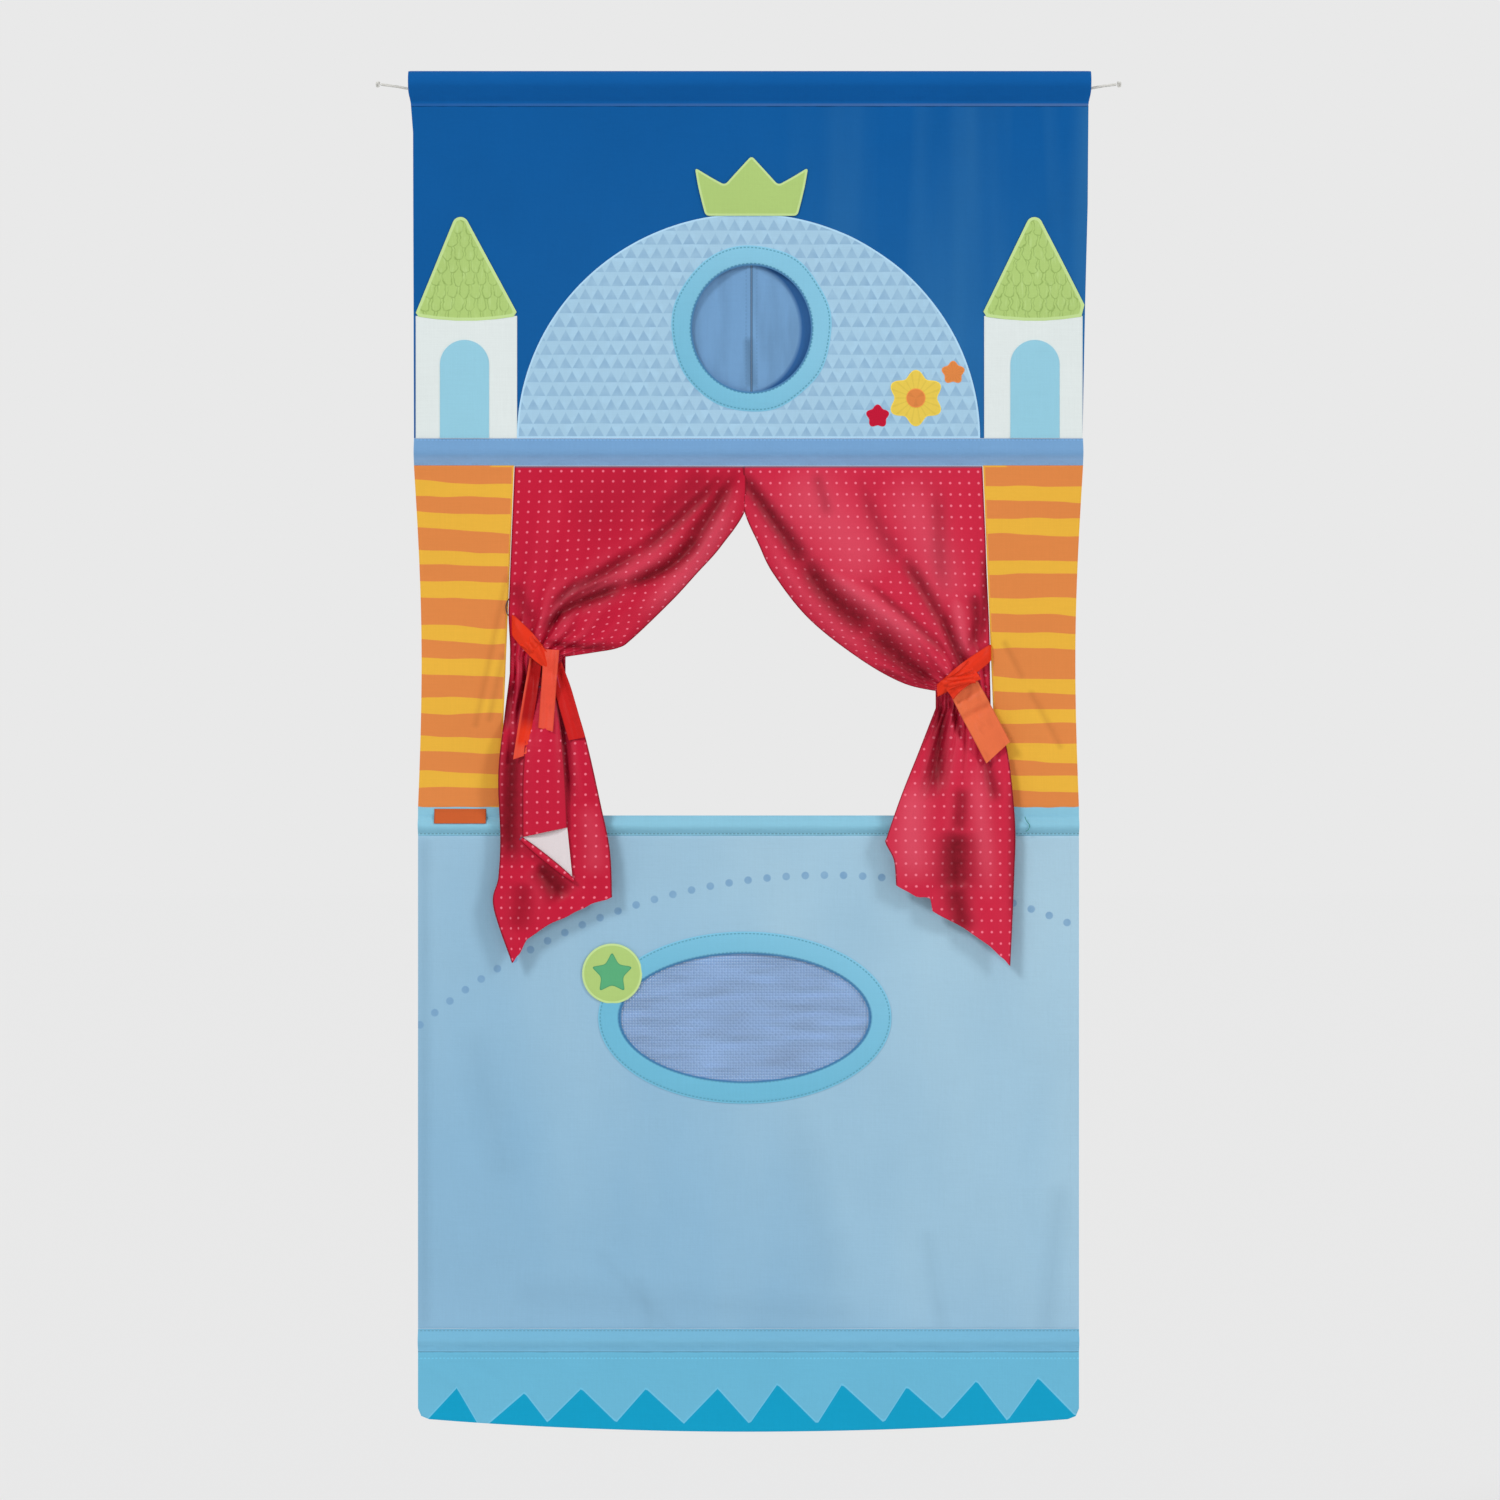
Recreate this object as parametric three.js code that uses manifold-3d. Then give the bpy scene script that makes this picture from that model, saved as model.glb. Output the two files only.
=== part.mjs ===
// Doorway puppet theatre: a cloth castle front that hangs from a rod and folds at its seams.
// Millimetres. +X is the right-hand side seen from the front, -Y is the front and +Z is up.
// The origin is the middle of the top rod's axis.
import * as THREE from 'three';
import { mergeVertices } from 'three/addons/utils/BufferGeometryUtils.js';
import Module from 'manifold-3d';

const wasm = await Module();
wasm.setup();

// Cloth and clearances
const clothThickness = 0.8;
const patchThickness = 0.6;
const ribbonThickness = 0.8;
const touchGap = 0.3;
const seamGap = 0.9;
const weldDistance = 0.0005;
const cutOverrun = 5;
const arcStep = 0.2;

// Top rod, its end caps and the hanging cord
const topRodRadius = 11;
const topRodWall = 1.6;
const capFlange = 2;
const capPlugLength = 14;
const cordRadius = 1.5;
const cordSides = 8;
const cordDrop = 6.2;
const cordStubLength = 31;
const cordStubRise = 4;
const cordStraight = 4;
const knotRadius = 3;
const rodSides = 24;

// Header tunnel and sky panel
const headerWidth = 750;
const rodInset = 2;
const headerStitchDepth = 25.3;
const skyTopInset = 2.5;
const skyBottomWidth = 736;
const skyHeight = 366;
const skyFoldDepth = 2.2;
const skyFoldPitch = 62;
const skyFoldHeight = 110;
const skyFoldStart = 80;
const skyColumns = 36;
const skyRows = 7;

// Tunnels across the cloth and the rods in them
const slimRodRadius = 5;
const slimRodInset = 9;
const tunnelHem = 2.3;
const ledgeHeight = 30;
const stageTunnelHeight = 22;
const bottomTunnelHeight = 26.4;

// Castle patches on the sky panel
const castleOffset = 3.3;
const domeHeight = 247;
const roundWindowHalfWidth = 66;
const roundWindowHalfHeight = 70;
const roundWindowHeight = 120.5;
const ringBand = 22;
const crownBaseWidth = 101;
const crownTopWidth = 117.5;
const crownHeight = 65;
const crownOverlap = 2.5;
const crownSidePeakShare = 0.76;
const crownValleyShare = 0.53;
const towerWidth = 111;
const towerEdge = 2;
const towerWallHeight = 134.5;
const towerWindowWidth = 54;
const towerWindowHeight = 108;
const roofHeight = 110;
const roofTipRadius = 9;

// Round window flaps
const flapOverlap = 7;
const flapSeamOverlap = 5;
const slitGap = 0.8;

// Flowers on the dome
const flowerOffset = 184;
const flowerHeight = 44;
const petalReach = 31;
const petalCount = 6;
const petalDepthShare = 0.24;
const flowerCentreRadius = 10.5;
const smallFlowerReach = 14;
const smallFlowerCount = 5;
const redFlowerOffset = -42;
const redFlowerDrop = -21;
const orangeFlowerOffset = 41;
const orangeFlowerRise = 27;

// Stage strips, opening and curtains
const stripHeight = 375.2;
const stripWidthAtLedge = 110;
const stripWidthAtStage = 90;
const stageWidth = 727;
const stripDrawIn = 6;
const stripSteps = 12;
const curtainMeetOffset = -4;
const curtainSideGap = 0.6;
const neckSideGap = 4.5;
const leftDrapeHeight = 209;
const rightDrapeHeight = 246.7;
const leftNeckWidth = 61;
const rightNeckWidth = 58;
const neckHeight = 19;
const neckDepthAway = 2.5;
const neckFold = 2.5;
const drapeFold = 5;
const drapeForward = 6;
const tailFold = 4.6;
const tailForward = 11;
const tailForwardHeight = 120;
const drapeColumns = 24;
const drapeRows = 13;
const neckRows = 2;
const tailColumns = 14;
const tailRows = 12;
const drapeFoldCount = 3;
const tailFoldCount = 2;
const leftTailHeight = 310;
const rightTailHeight = 280;

// Ribbons
const ribbonWidth = 15;
const ribbonEndWidth = 19;
const wideEndWidth = 38;
const ribbonSewnLength = 22;
const ribbonEndRows = 6;
const outerEndLength = 98;
const middleEndLength = 62;
const innerEndLength = 70;
const wideEndLength = 64;
const outerEndLeanShare = -0.12;
const middleEndLeanShare = 0.02;
const innerEndLeanShare = 0.1;
const wideEndLeanShare = 0.35;
const outerEndNeckShare = 0.27;
const middleEndNeckShare = 0.64;
const innerEndNeckShare = 1;
const wideEndNeckShare = 0.5;

// Lower panel and what is on it
const stageEarHeight = 7.7;
const stageEarWidth = 92;
const lowerPanelHeight = 542;
const ovalHalfWidth = 137;
const ovalHalfHeight = 70.4;
const ovalDrop = 200;
const ovalBand = 24.3;
const ovalOffset = -4;
const netMargin = 9;
const netRim = 6;
const netPitch = 16;
const netStrand = 2.4;
const netThickness = 0.7;
const badgeRadius = 33;
const starReach = 24;
const starInnerShare = 0.5;
const starPoints = 5;
const badgeOffset = -146;
const badgeRise = 48.5;
const tabWidth = 57;
const tabLength = 16;
const tabInset = 18;
const valanceHeight = 86;
const valanceBow = 14;
const valanceCorner = 12;

// Shares of a curtain's width and drop along its inner edge, outer edge first
const leftInnerEdgeShares = [
  [1, 0], [1, 0.217], [0.9, 0.411], [0.761, 0.621], [0.61, 0.831], [0.479, 0.952], [0.36, 0.992],
];
const rightInnerEdgeShares = [
  [1, 0], [1, 0.184], [0.937, 0.349], [0.875, 0.483], [0.729, 0.683], [0.521, 0.862], [0.354, 0.965],
];
// Shares of a curtain tail's neck width, outwards from the outer neck corner, and of its height
const leftTailOuterShares = [[0, 0], [0.13, 0.26], [0.12, 0.6], [0.24, 0.78], [-0.1, 1]];
const leftTailInnerShares = [[1, 0], [1.36, 0.2], [1.6, 0.47], [1.8, 0.76]];
const rightTailOuterShares = [[0, 0], [0.28, 0.2], [0.46, 0.45], [0.45, 0.65], [0.4, 1]];
const rightTailInnerShares = [[1, 0], [1.62, 0.32], [1.96, 0.52], [1.76, 0.7]];
const tailHemBowShare = 0.07;

const leftCurtain = {
  side: -1,
  name: 'left',
  height: leftDrapeHeight,
  neckWidth: leftNeckWidth,
  tailHeight: leftTailHeight,
  edgeShares: leftInnerEdgeShares,
  outerShares: leftTailOuterShares,
  innerShares: leftTailInnerShares,
};
const rightCurtain = {
  side: 1,
  name: 'right',
  height: rightDrapeHeight,
  neckWidth: rightNeckWidth,
  tailHeight: rightTailHeight,
  edgeShares: rightInnerEdgeShares,
  outerShares: rightTailOuterShares,
  innerShares: rightTailInnerShares,
};

// Heights of the seams, counted down from the rod's axis
const headerBottom = -headerStitchDepth;
const skyBottom = headerBottom - skyHeight;
const ledgeTop = skyBottom - touchGap;
const ledgeBottom = ledgeTop - ledgeHeight;
const stripTop = ledgeBottom - seamGap;
const stripBottom = stripTop - stripHeight;
const stageTop = stripBottom - seamGap;
const stageTunnelTop = stageTop - stageEarHeight;
const stageBottom = stageTunnelTop - stageTunnelHeight;
const lowerPanelTop = stageBottom - touchGap;
const lowerPanelBottom = lowerPanelTop - lowerPanelHeight;
const bottomBandTop = lowerPanelBottom - touchGap;
const bottomBandBottom = bottomBandTop - bottomTunnelHeight;
const valanceTop = bottomBandBottom - seamGap;

// Depths of the layers
const clothBack = clothThickness / 2;
const layerPitch = patchThickness + touchGap;
const layerBack = (layer) => -clothBack - touchGap - (layer - 1) * layerPitch;
const behindCloth = clothBack + touchGap;

const colours = {
  deepBlue: 0x105ea0, lightBlue: 0xa8cce2, cyan: 0x7ec3df, periwinkle: 0x7d9fc8, lime: 0xb1ca7a,
  white: 0xe6eaec, windowBlue: 0x90cae0, orange: 0xe08441, red: 0xc41f39, ribbon: 0xe0492f,
  paleBlue: 0x94bbd8, net: 0x839fc9, green: 0x64b17a, yellow: 0xe2c653, tab: 0xe3742c,
  steel: 0xb9bdc2, plastic: 0xdadcdf, cord: 0xd9d8d2, wood: 0xc9a878, valance: 0x6bb2d2,
};

const theatre = new THREE.Group();

function addPart(name, geometry, colour, roughness = 0.85, metalness = 0) {
  const material = new THREE.MeshStandardMaterial({ color: colour, roughness, metalness });
  const mesh = new THREE.Mesh(geometry, material);
  mesh.name = name;
  theatre.add(mesh);
  return mesh;
}

// Joining and cutting

function toSolid(geometry) {
  const bare = geometry.clone();
  bare.deleteAttribute('normal');
  bare.deleteAttribute('uv');
  const welded = mergeVertices(bare, weldDistance);
  const vertProperties = new Float32Array(welded.attributes.position.array);
  const triVerts = new Uint32Array(welded.index.array);
  return new wasm.Manifold(new wasm.Mesh({ numProp: 3, vertProperties, triVerts }));
}

function toGeometry(solid) {
  const mesh = solid.getMesh();
  const geometry = new THREE.BufferGeometry();
  geometry.setAttribute('position', new THREE.BufferAttribute(new Float32Array(mesh.vertProperties), 3));
  geometry.setIndex(new THREE.BufferAttribute(new Uint32Array(mesh.triVerts), 1));
  return geometry;
}

// Basic solids

// A flat piece whose outline is drawn in X and Z, with its back face at a given depth.
function plate(shape, back, thickness) {
  const geometry = new THREE.ExtrudeGeometry(shape, { depth: thickness, bevelEnabled: false });
  geometry.rotateX(Math.PI / 2);
  geometry.translate(0, back, 0);
  return geometry;
}

// A profile drawn in Y and Z, drawn out along X and centred on the middle plane.
function alongX(shape, length, height) {
  const geometry = new THREE.ExtrudeGeometry(shape, { depth: length, bevelEnabled: false });
  geometry.applyMatrix4(new THREE.Matrix4().set(0, 0, 1, 0, 1, 0, 0, 0, 0, 1, 0, 0, 0, 0, 0, 1));
  geometry.translate(-length / 2, 0, height);
  return geometry;
}

function cylinderAlongX(radius, length, sides = rodSides) {
  const geometry = new THREE.CylinderGeometry(radius, radius, length, sides);
  geometry.rotateZ(Math.PI / 2);
  return geometry;
}

function box(width, depth, height, centre) {
  const geometry = new THREE.BoxGeometry(width, depth, height);
  geometry.translate(centre[0], centre[1], centre[2]);
  return geometry;
}

function ellipsePoints(halfWidth, halfHeight, centreX, centreZ, from = 0, to = 2 * Math.PI) {
  const steps = Math.ceil(Math.abs(to - from) / arcStep);
  const points = [];
  for (let i = 0; i <= steps; i += 1) {
    const angle = from + ((to - from) * i) / steps;
    points.push(new THREE.Vector2(
      centreX + halfWidth * Math.cos(angle),
      centreZ + halfHeight * Math.sin(angle),
    ));
  }
  return points;
}

function ellipseShape(halfWidth, halfHeight, centreX, centreZ) {
  const points = ellipsePoints(halfWidth, halfHeight, centreX, centreZ);
  points.pop();
  return new THREE.Shape(points);
}

function ellipseHole(halfWidth, halfHeight, centreX, centreZ) {
  const points = ellipsePoints(halfWidth, halfHeight, centreX, centreZ);
  points.pop();
  return new THREE.Path(points.reverse());
}

// A closed sheet on a grid. surface(u, v) gives the middle of the cloth as a Vector3.
function clothSheet(surface, columns, rows, thickness) {
  const positions = [];
  const indices = [];
  const small = 0.001;
  const across = new THREE.Vector3();
  const down = new THREE.Vector3();
  const sideCount = (columns + 1) * (rows + 1);
  const sign = surface(1, 0).x > surface(0, 0).x ? 1 : -1;
  for (const side of [1, -1]) {
    for (let row = 0; row <= rows; row += 1) {
      for (let column = 0; column <= columns; column += 1) {
        const u = column / columns;
        const v = row / rows;
        const point = surface(u, v);
        across.subVectors(surface(Math.min(u + small, 1), v), surface(Math.max(u - small, 0), v));
        down.subVectors(surface(u, Math.min(v + small, 1)), surface(u, Math.max(v - small, 0)));
        const normal = down.clone().cross(across).normalize();
        point.addScaledVector(normal, (side * sign * thickness) / 2);
        positions.push(point.x, point.y, point.z);
      }
    }
  }
  const at = (side, column, row) => side * sideCount + row * (columns + 1) + column;
  const quad = (a, b, c, d) => indices.push(a, b, c, a, c, d);
  for (let row = 0; row < rows; row += 1) {
    for (let column = 0; column < columns; column += 1) {
      quad(at(0, column, row), at(0, column, row + 1), at(0, column + 1, row + 1), at(0, column + 1, row));
      quad(at(1, column, row), at(1, column + 1, row), at(1, column + 1, row + 1), at(1, column, row + 1));
    }
  }
  for (let row = 0; row < rows; row += 1) {
    quad(at(0, 0, row), at(1, 0, row), at(1, 0, row + 1), at(0, 0, row + 1));
    quad(at(0, columns, row + 1), at(1, columns, row + 1), at(1, columns, row), at(0, columns, row));
  }
  for (let column = 0; column < columns; column += 1) {
    quad(at(0, column + 1, 0), at(1, column + 1, 0), at(1, column, 0), at(0, column, 0));
    quad(at(0, column, rows), at(1, column, rows), at(1, column + 1, rows), at(0, column + 1, rows));
  }
  if (sign < 0) {
    indices.reverse();
  }
  const geometry = new THREE.BufferGeometry();
  geometry.setAttribute('position', new THREE.Float32BufferAttribute(positions, 3));
  geometry.setIndex(indices);
  return geometry;
}

// The outline of a tunnel round a rod: an arc with straight walls that meet above and below it.
// A reach of null closes that end with the arc itself.
function tunnelOutline(radius, tipAbove, tipBelow, halfHem, above, below) {
  const points = [];
  const lean = (tip) => Math.asin(radius / tip);
  const upperAngle = tipAbove === null ? Math.PI / 2 : lean(tipAbove);
  const lowerAngle = lean(tipBelow);
  const meet = (angle) => (radius - halfHem * Math.cos(angle)) / Math.sin(angle);
  if (tipAbove !== null) {
    points.push(new THREE.Vector2(halfHem, above), new THREE.Vector2(halfHem, meet(upperAngle)));
  }
  points.push(...ellipsePoints(radius, radius, 0, 0, upperAngle, -lowerAngle));
  points.push(new THREE.Vector2(halfHem, -meet(lowerAngle)), new THREE.Vector2(halfHem, -below));
  const mirrored = points.map((point) => new THREE.Vector2(-point.x, point.y)).reverse();
  return points.concat(tipAbove === null ? mirrored.slice(0, -1) : mirrored);
}

function loopOutline(radius, tipAbove, tipBelow) {
  const lean = (tip) => Math.asin(radius / tip);
  const upperAngle = tipAbove === null ? Math.PI / 2 : lean(tipAbove);
  const points = ellipsePoints(radius, radius, 0, 0, upperAngle, -lean(tipBelow));
  const mirrored = points.map((point) => new THREE.Vector2(-point.x, point.y)).reverse();
  if (tipAbove === null) {
    return [...points, new THREE.Vector2(0, -tipBelow), ...mirrored.slice(0, -1)];
  }
  return [new THREE.Vector2(0, tipAbove), ...points, new THREE.Vector2(0, -tipBelow), ...mirrored];
}

// The cloth tunnel's section, with its bore a touching gap clear of the rod.
function tunnelShape(rodRadius, tipAbove, tipBelow, halfHem, above, below) {
  const bore = rodRadius + touchGap;
  const outer = bore + clothThickness;
  const outerTip = (tip) => (tip === null ? null : (tip * outer) / bore);
  const shape = new THREE.Shape(
    tunnelOutline(outer, outerTip(tipAbove), outerTip(tipBelow), halfHem, above, below).reverse(),
  );
  shape.holes.push(new THREE.Path(loopOutline(bore, tipAbove, tipBelow)));
  return shape;
}

// Top rod, caps and cord
function addTopRod() {
  const capFace = headerWidth / 2 - rodInset;
  const rodLength = 2 * (capFace - capFlange - touchGap);
  const bore = topRodRadius - topRodWall;
  const tube = toSolid(cylinderAlongX(topRodRadius, rodLength))
    .subtract(toSolid(cylinderAlongX(bore, rodLength + cutOverrun)));
  addPart('top_rod', toGeometry(tube), colours.steel, 0.35, 0.9);

  for (const [side, name] of [[-1, 'left'], [1, 'right']]) {
    const flange = cylinderAlongX(topRodRadius, capFlange);
    flange.translate(side * (capFace - capFlange / 2), 0, 0);
    const plugSpan = capPlugLength + capFlange;
    const plug = cylinderAlongX(bore - touchGap, plugSpan);
    plug.translate(side * (capFace - plugSpan / 2), 0, 0);
    const hole = cylinderAlongX(cordRadius + touchGap, plugSpan + cutOverrun, cordSides);
    hole.translate(side * (capFace - plugSpan / 2), 0, -cordDrop);
    const cap = toSolid(flange).add(toSolid(plug)).subtract(toSolid(hole));
    addPart(`top_rod_cap_${name}`, toGeometry(cap), colours.plastic, 0.5);
    addCordEnd(side, name, capFace);
  }

  const inner = cylinderAlongX(cordRadius, 2 * capFace, cordSides);
  inner.translate(0, 0, -cordDrop);
  addPart('hanging_cord_inside', inner, colours.cord, 0.9);
}

// The cord's free end: straight out of the cap, then up a little to a knot.
function addCordEnd(side, name, capFace) {
  const start = capFace + touchGap;
  const end = start + cordStubLength;
  const points = [
    [start, -cordDrop],
    [start + cordStraight, -cordDrop],
    [(start + end) / 2, -cordDrop + cordStubRise / 2],
    [end, -cordDrop + cordStubRise],
  ];
  const route = new THREE.CatmullRomCurve3(points.map(([x, z]) => new THREE.Vector3(side * x, 0, z)));
  const section = new THREE.Shape(ellipsePoints(cordRadius, cordRadius, 0, 0).slice(0, -1)
    .filter((point, index, all) => index % Math.round(all.length / cordSides) === 0));
  const steps = Math.round(cordStubLength / (4 * cordRadius));
  const stub = new THREE.ExtrudeGeometry(section, { steps, extrudePath: route, bevelEnabled: false });
  addPart(`hanging_cord_${name}`, stub, colours.cord, 0.9);

  const knot = new THREE.SphereGeometry(knotRadius, cordSides, cordSides);
  const direction = route.getTangent(1);
  const tip = new THREE.Vector3(side * end, 0, -cordDrop + cordStubRise);
  knot.rotateZ(Math.PI / 2);
  const centre = tip.addScaledVector(direction, knotRadius + touchGap);
  knot.translate(centre.x, centre.y, centre.z);
  addPart(`hanging_knot_${name}`, knot, colours.cord, 0.9);
}

// Soft folds hang from the header's right-hand half and fade where the patches stiffen the cloth.
function skyFold(x, z) {
  const depth = (headerBottom - z) / skyFoldHeight;
  if (depth <= 0 || depth >= 1 || x <= skyFoldStart) {
    return 0;
  }
  const fade = Math.sin(Math.PI * depth) ** 2;
  const rise = Math.min((x - skyFoldStart) / skyFoldPitch, 1);
  return skyFoldDepth * fade * rise * Math.sin((2 * Math.PI * (x - skyFoldStart)) / skyFoldPitch);
}

const domeBase = skyBottom;
const towerInner = skyBottomWidth / 2 - towerEdge - towerWidth;
const domeHalfWidth = towerInner - touchGap;
const roundWindowZ = domeBase + roundWindowHeight;

function addSkyPanel() {
  const doubled = clothThickness;
  const tip = headerStitchDepth - tunnelHem;
  const header = tunnelShape(topRodRadius, null, tip, doubled, 0, headerStitchDepth + touchGap);
  const hemOverlap = headerBottom + clothThickness;
  const panel = clothSheet((u, v) => {
    const z = THREE.MathUtils.lerp(hemOverlap, skyBottom, v);
    const width = THREE.MathUtils.lerp(headerWidth - 2 * skyTopInset, skyBottomWidth, v);
    const x = (u - 0.5) * width;
    return new THREE.Vector3(x, skyFold(x, z), z);
  }, skyColumns, skyRows, clothThickness);
  const hole = plate(
    ellipseShape(roundWindowHalfWidth, roundWindowHalfHeight, castleOffset, roundWindowZ),
    cutOverrun,
    2 * cutOverrun,
  );
  const solid = toSolid(alongX(header, headerWidth, 0)).add(toSolid(panel)).subtract(toSolid(hole));
  addPart('sky_panel', toGeometry(solid), colours.deepBlue);
}

function addCastle() {
  const dome = new THREE.Shape(ellipsePoints(domeHalfWidth, domeHeight, 0, domeBase, 0, Math.PI));
  dome.holes.push(ellipseHole(roundWindowHalfWidth, roundWindowHalfHeight, castleOffset, roundWindowZ));
  addPart('dome_patch', plate(dome, layerBack(1), patchThickness), colours.lightBlue);

  const ring = ellipseShape(
    roundWindowHalfWidth + ringBand, roundWindowHalfHeight + ringBand - touchGap, castleOffset, roundWindowZ,
  );
  ring.holes.push(ellipseHole(roundWindowHalfWidth, roundWindowHalfHeight, castleOffset, roundWindowZ));
  addPart('round_window_ring', plate(ring, layerBack(2), patchThickness), colours.cyan);

  const crownBase = domeBase + domeHeight - crownOverlap;
  const topHalf = crownTopWidth / 2;
  const baseHalf = crownBaseWidth / 2;
  const sidePeak = crownHeight * crownSidePeakShare;
  const valley = crownHeight * crownValleyShare;
  const crown = new THREE.Shape([
    new THREE.Vector2(castleOffset - baseHalf, crownBase),
    new THREE.Vector2(castleOffset + baseHalf, crownBase),
    new THREE.Vector2(castleOffset + topHalf, crownBase + sidePeak),
    new THREE.Vector2(castleOffset + topHalf / 2, crownBase + valley),
    new THREE.Vector2(castleOffset, crownBase + crownHeight),
    new THREE.Vector2(castleOffset - topHalf / 2, crownBase + valley),
    new THREE.Vector2(castleOffset - topHalf, crownBase + sidePeak),
  ]);
  addPart('crown_patch', plate(crown, layerBack(2), patchThickness), colours.lime);
}

function addTower(side, name) {
  const centre = side * (towerInner + towerWidth / 2);
  const half = towerWidth / 2;
  const wallTop = skyBottom + towerWallHeight;
  const wall = new THREE.Shape([
    new THREE.Vector2(centre - half, skyBottom),
    new THREE.Vector2(centre + half, skyBottom),
    new THREE.Vector2(centre + half, wallTop),
    new THREE.Vector2(centre - half, wallTop),
  ]);
  addPart(`tower_wall_${name}`, plate(wall, layerBack(1), patchThickness), colours.white);

  const windowHalf = towerWindowWidth / 2;
  const spring = skyBottom + towerWindowHeight - windowHalf;
  const opening = new THREE.Shape([
    new THREE.Vector2(centre - windowHalf, skyBottom),
    new THREE.Vector2(centre + windowHalf, skyBottom),
    ...ellipsePoints(windowHalf, windowHalf, centre, spring, 0, Math.PI),
  ]);
  addPart(`tower_window_${name}`, plate(opening, layerBack(2), patchThickness), colours.windowBlue);

  const eaves = wallTop + touchGap;
  const lean = Math.atan2(half - roofTipRadius, roofHeight - roofTipRadius);
  const tipZ = eaves + roofHeight - roofTipRadius;
  const roof = new THREE.Shape([
    new THREE.Vector2(centre - half, eaves),
    new THREE.Vector2(centre + half, eaves),
    ...ellipsePoints(roofTipRadius, roofTipRadius, centre, tipZ, lean, Math.PI - lean),
  ]);
  addPart(`tower_roof_${name}`, plate(roof, layerBack(1), patchThickness), colours.lime);
}

// A flower with round lobes, as one closed outline.
function flowerShape(reach, count, x, z) {
  const mean = reach * (1 - petalDepthShare / 2);
  const swing = (reach * petalDepthShare) / 2;
  const steps = count * 8;
  const points = [];
  for (let i = 0; i < steps; i += 1) {
    const angle = (2 * Math.PI * i) / steps;
    const radius = mean + swing * Math.cos(count * angle);
    points.push(new THREE.Vector2(x + radius * Math.sin(angle), z + radius * Math.cos(angle)));
  }
  return new THREE.Shape(points);
}

function addFlowers() {
  const x = flowerOffset;
  const z = skyBottom + flowerHeight;
  const large = flowerShape(petalReach, petalCount, x, z);
  const red = flowerShape(smallFlowerReach, smallFlowerCount, x + redFlowerOffset, z + redFlowerDrop);
  const orange = flowerShape(
    smallFlowerReach, smallFlowerCount, x + orangeFlowerOffset, z + orangeFlowerRise,
  );
  const centre = ellipseShape(flowerCentreRadius, flowerCentreRadius, x, z);
  addPart('flower_yellow', plate(large, layerBack(2), patchThickness), colours.yellow);
  addPart('flower_centre', plate(centre, layerBack(3), patchThickness), colours.orange);
  addPart('flower_red', plate(red, layerBack(2), patchThickness), colours.red);
  addPart('flower_orange', plate(orange, layerBack(2), patchThickness), colours.orange);
}

// Two flaps close the round window from behind and meet at an upright slit.
function addFlap(side, name) {
  const halfWidth = roundWindowHalfWidth + flapOverlap;
  const halfHeight = roundWindowHalfHeight + flapOverlap;
  const seam = roundWindowHalfWidth + flapSeamOverlap;
  const seamAngle = Math.acos(seam / halfWidth);
  const slitAngle = Math.acos(slitGap / 2 / halfWidth);
  const upper = ellipsePoints(halfWidth, halfHeight, 0, 0, seamAngle, slitAngle);
  const lower = ellipsePoints(halfWidth, halfHeight, 0, 0, -slitAngle, -seamAngle);
  const outline = [...upper, ...lower].map((point) => new THREE.Vector2(
    castleOffset + side * point.x,
    roundWindowZ + point.y,
  ));
  const flap = plate(new THREE.Shape(outline), behindCloth + clothThickness, clothThickness);
  addPart(`window_flap_${name}`, flap, colours.periwinkle);
}

function addTunnelAndRod(name, width, top, height, extra) {
  const half = height / 2;
  const middle = top - half;
  const tip = half - tunnelHem;
  const section = tunnelShape(slimRodRadius, tip, tip, clothBack, half, half);
  let band = toSolid(alongX(section, width, middle));
  for (const piece of extra) {
    band = band.add(toSolid(piece));
  }
  const rod = cylinderAlongX(slimRodRadius, width - 2 * slimRodInset);
  rod.translate(0, 0, middle);
  addPart(`${name}_band`, toGeometry(band), name === 'ledge' ? colours.periwinkle : colours.cyan);
  addPart(`${name}_rod`, rod, colours.wood, 0.6);
}

// Side strips, drawn in a little between the ledge and the stage edge.
function stripOuter(t) {
  const edge = THREE.MathUtils.lerp(skyBottomWidth, stageWidth, t) / 2;
  return edge - stripDrawIn * Math.sin(Math.PI * t);
}

function stripInner(t) {
  const width = THREE.MathUtils.lerp(stripWidthAtLedge, stripWidthAtStage, t);
  return THREE.MathUtils.lerp(skyBottomWidth, stageWidth, t) / 2 - width;
}

function addStrip(side, name) {
  const points = [];
  for (let i = 0; i <= stripSteps; i += 1) {
    const t = i / stripSteps;
    points.push(new THREE.Vector2(side * stripOuter(t), stripTop - t * stripHeight));
  }
  points.push(new THREE.Vector2(side * stripInner(1), stripBottom));
  points.push(new THREE.Vector2(side * stripInner(0), stripTop));
  if (side > 0) {
    points.reverse();
  }
  const strip = plate(new THREE.Shape(points), clothBack, clothThickness);
  addPart(`side_strip_${name}`, strip, colours.orange);
}

// A curtain: a drape gathered to a short neck, and a tail that hangs from the neck.
const smooth = (t) => THREE.MathUtils.smoothstep(t, 0, 1);
const neckY = -neckDepthAway;
const outerAtLedge = stripInner(0) - curtainSideGap;
const outerAtNeck = (curtain) => stripInner(curtain.height / stripHeight) - neckSideGap;

function neckWave(u) {
  return neckFold * Math.cos(2 * Math.PI * tailFoldCount * u);
}

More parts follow.
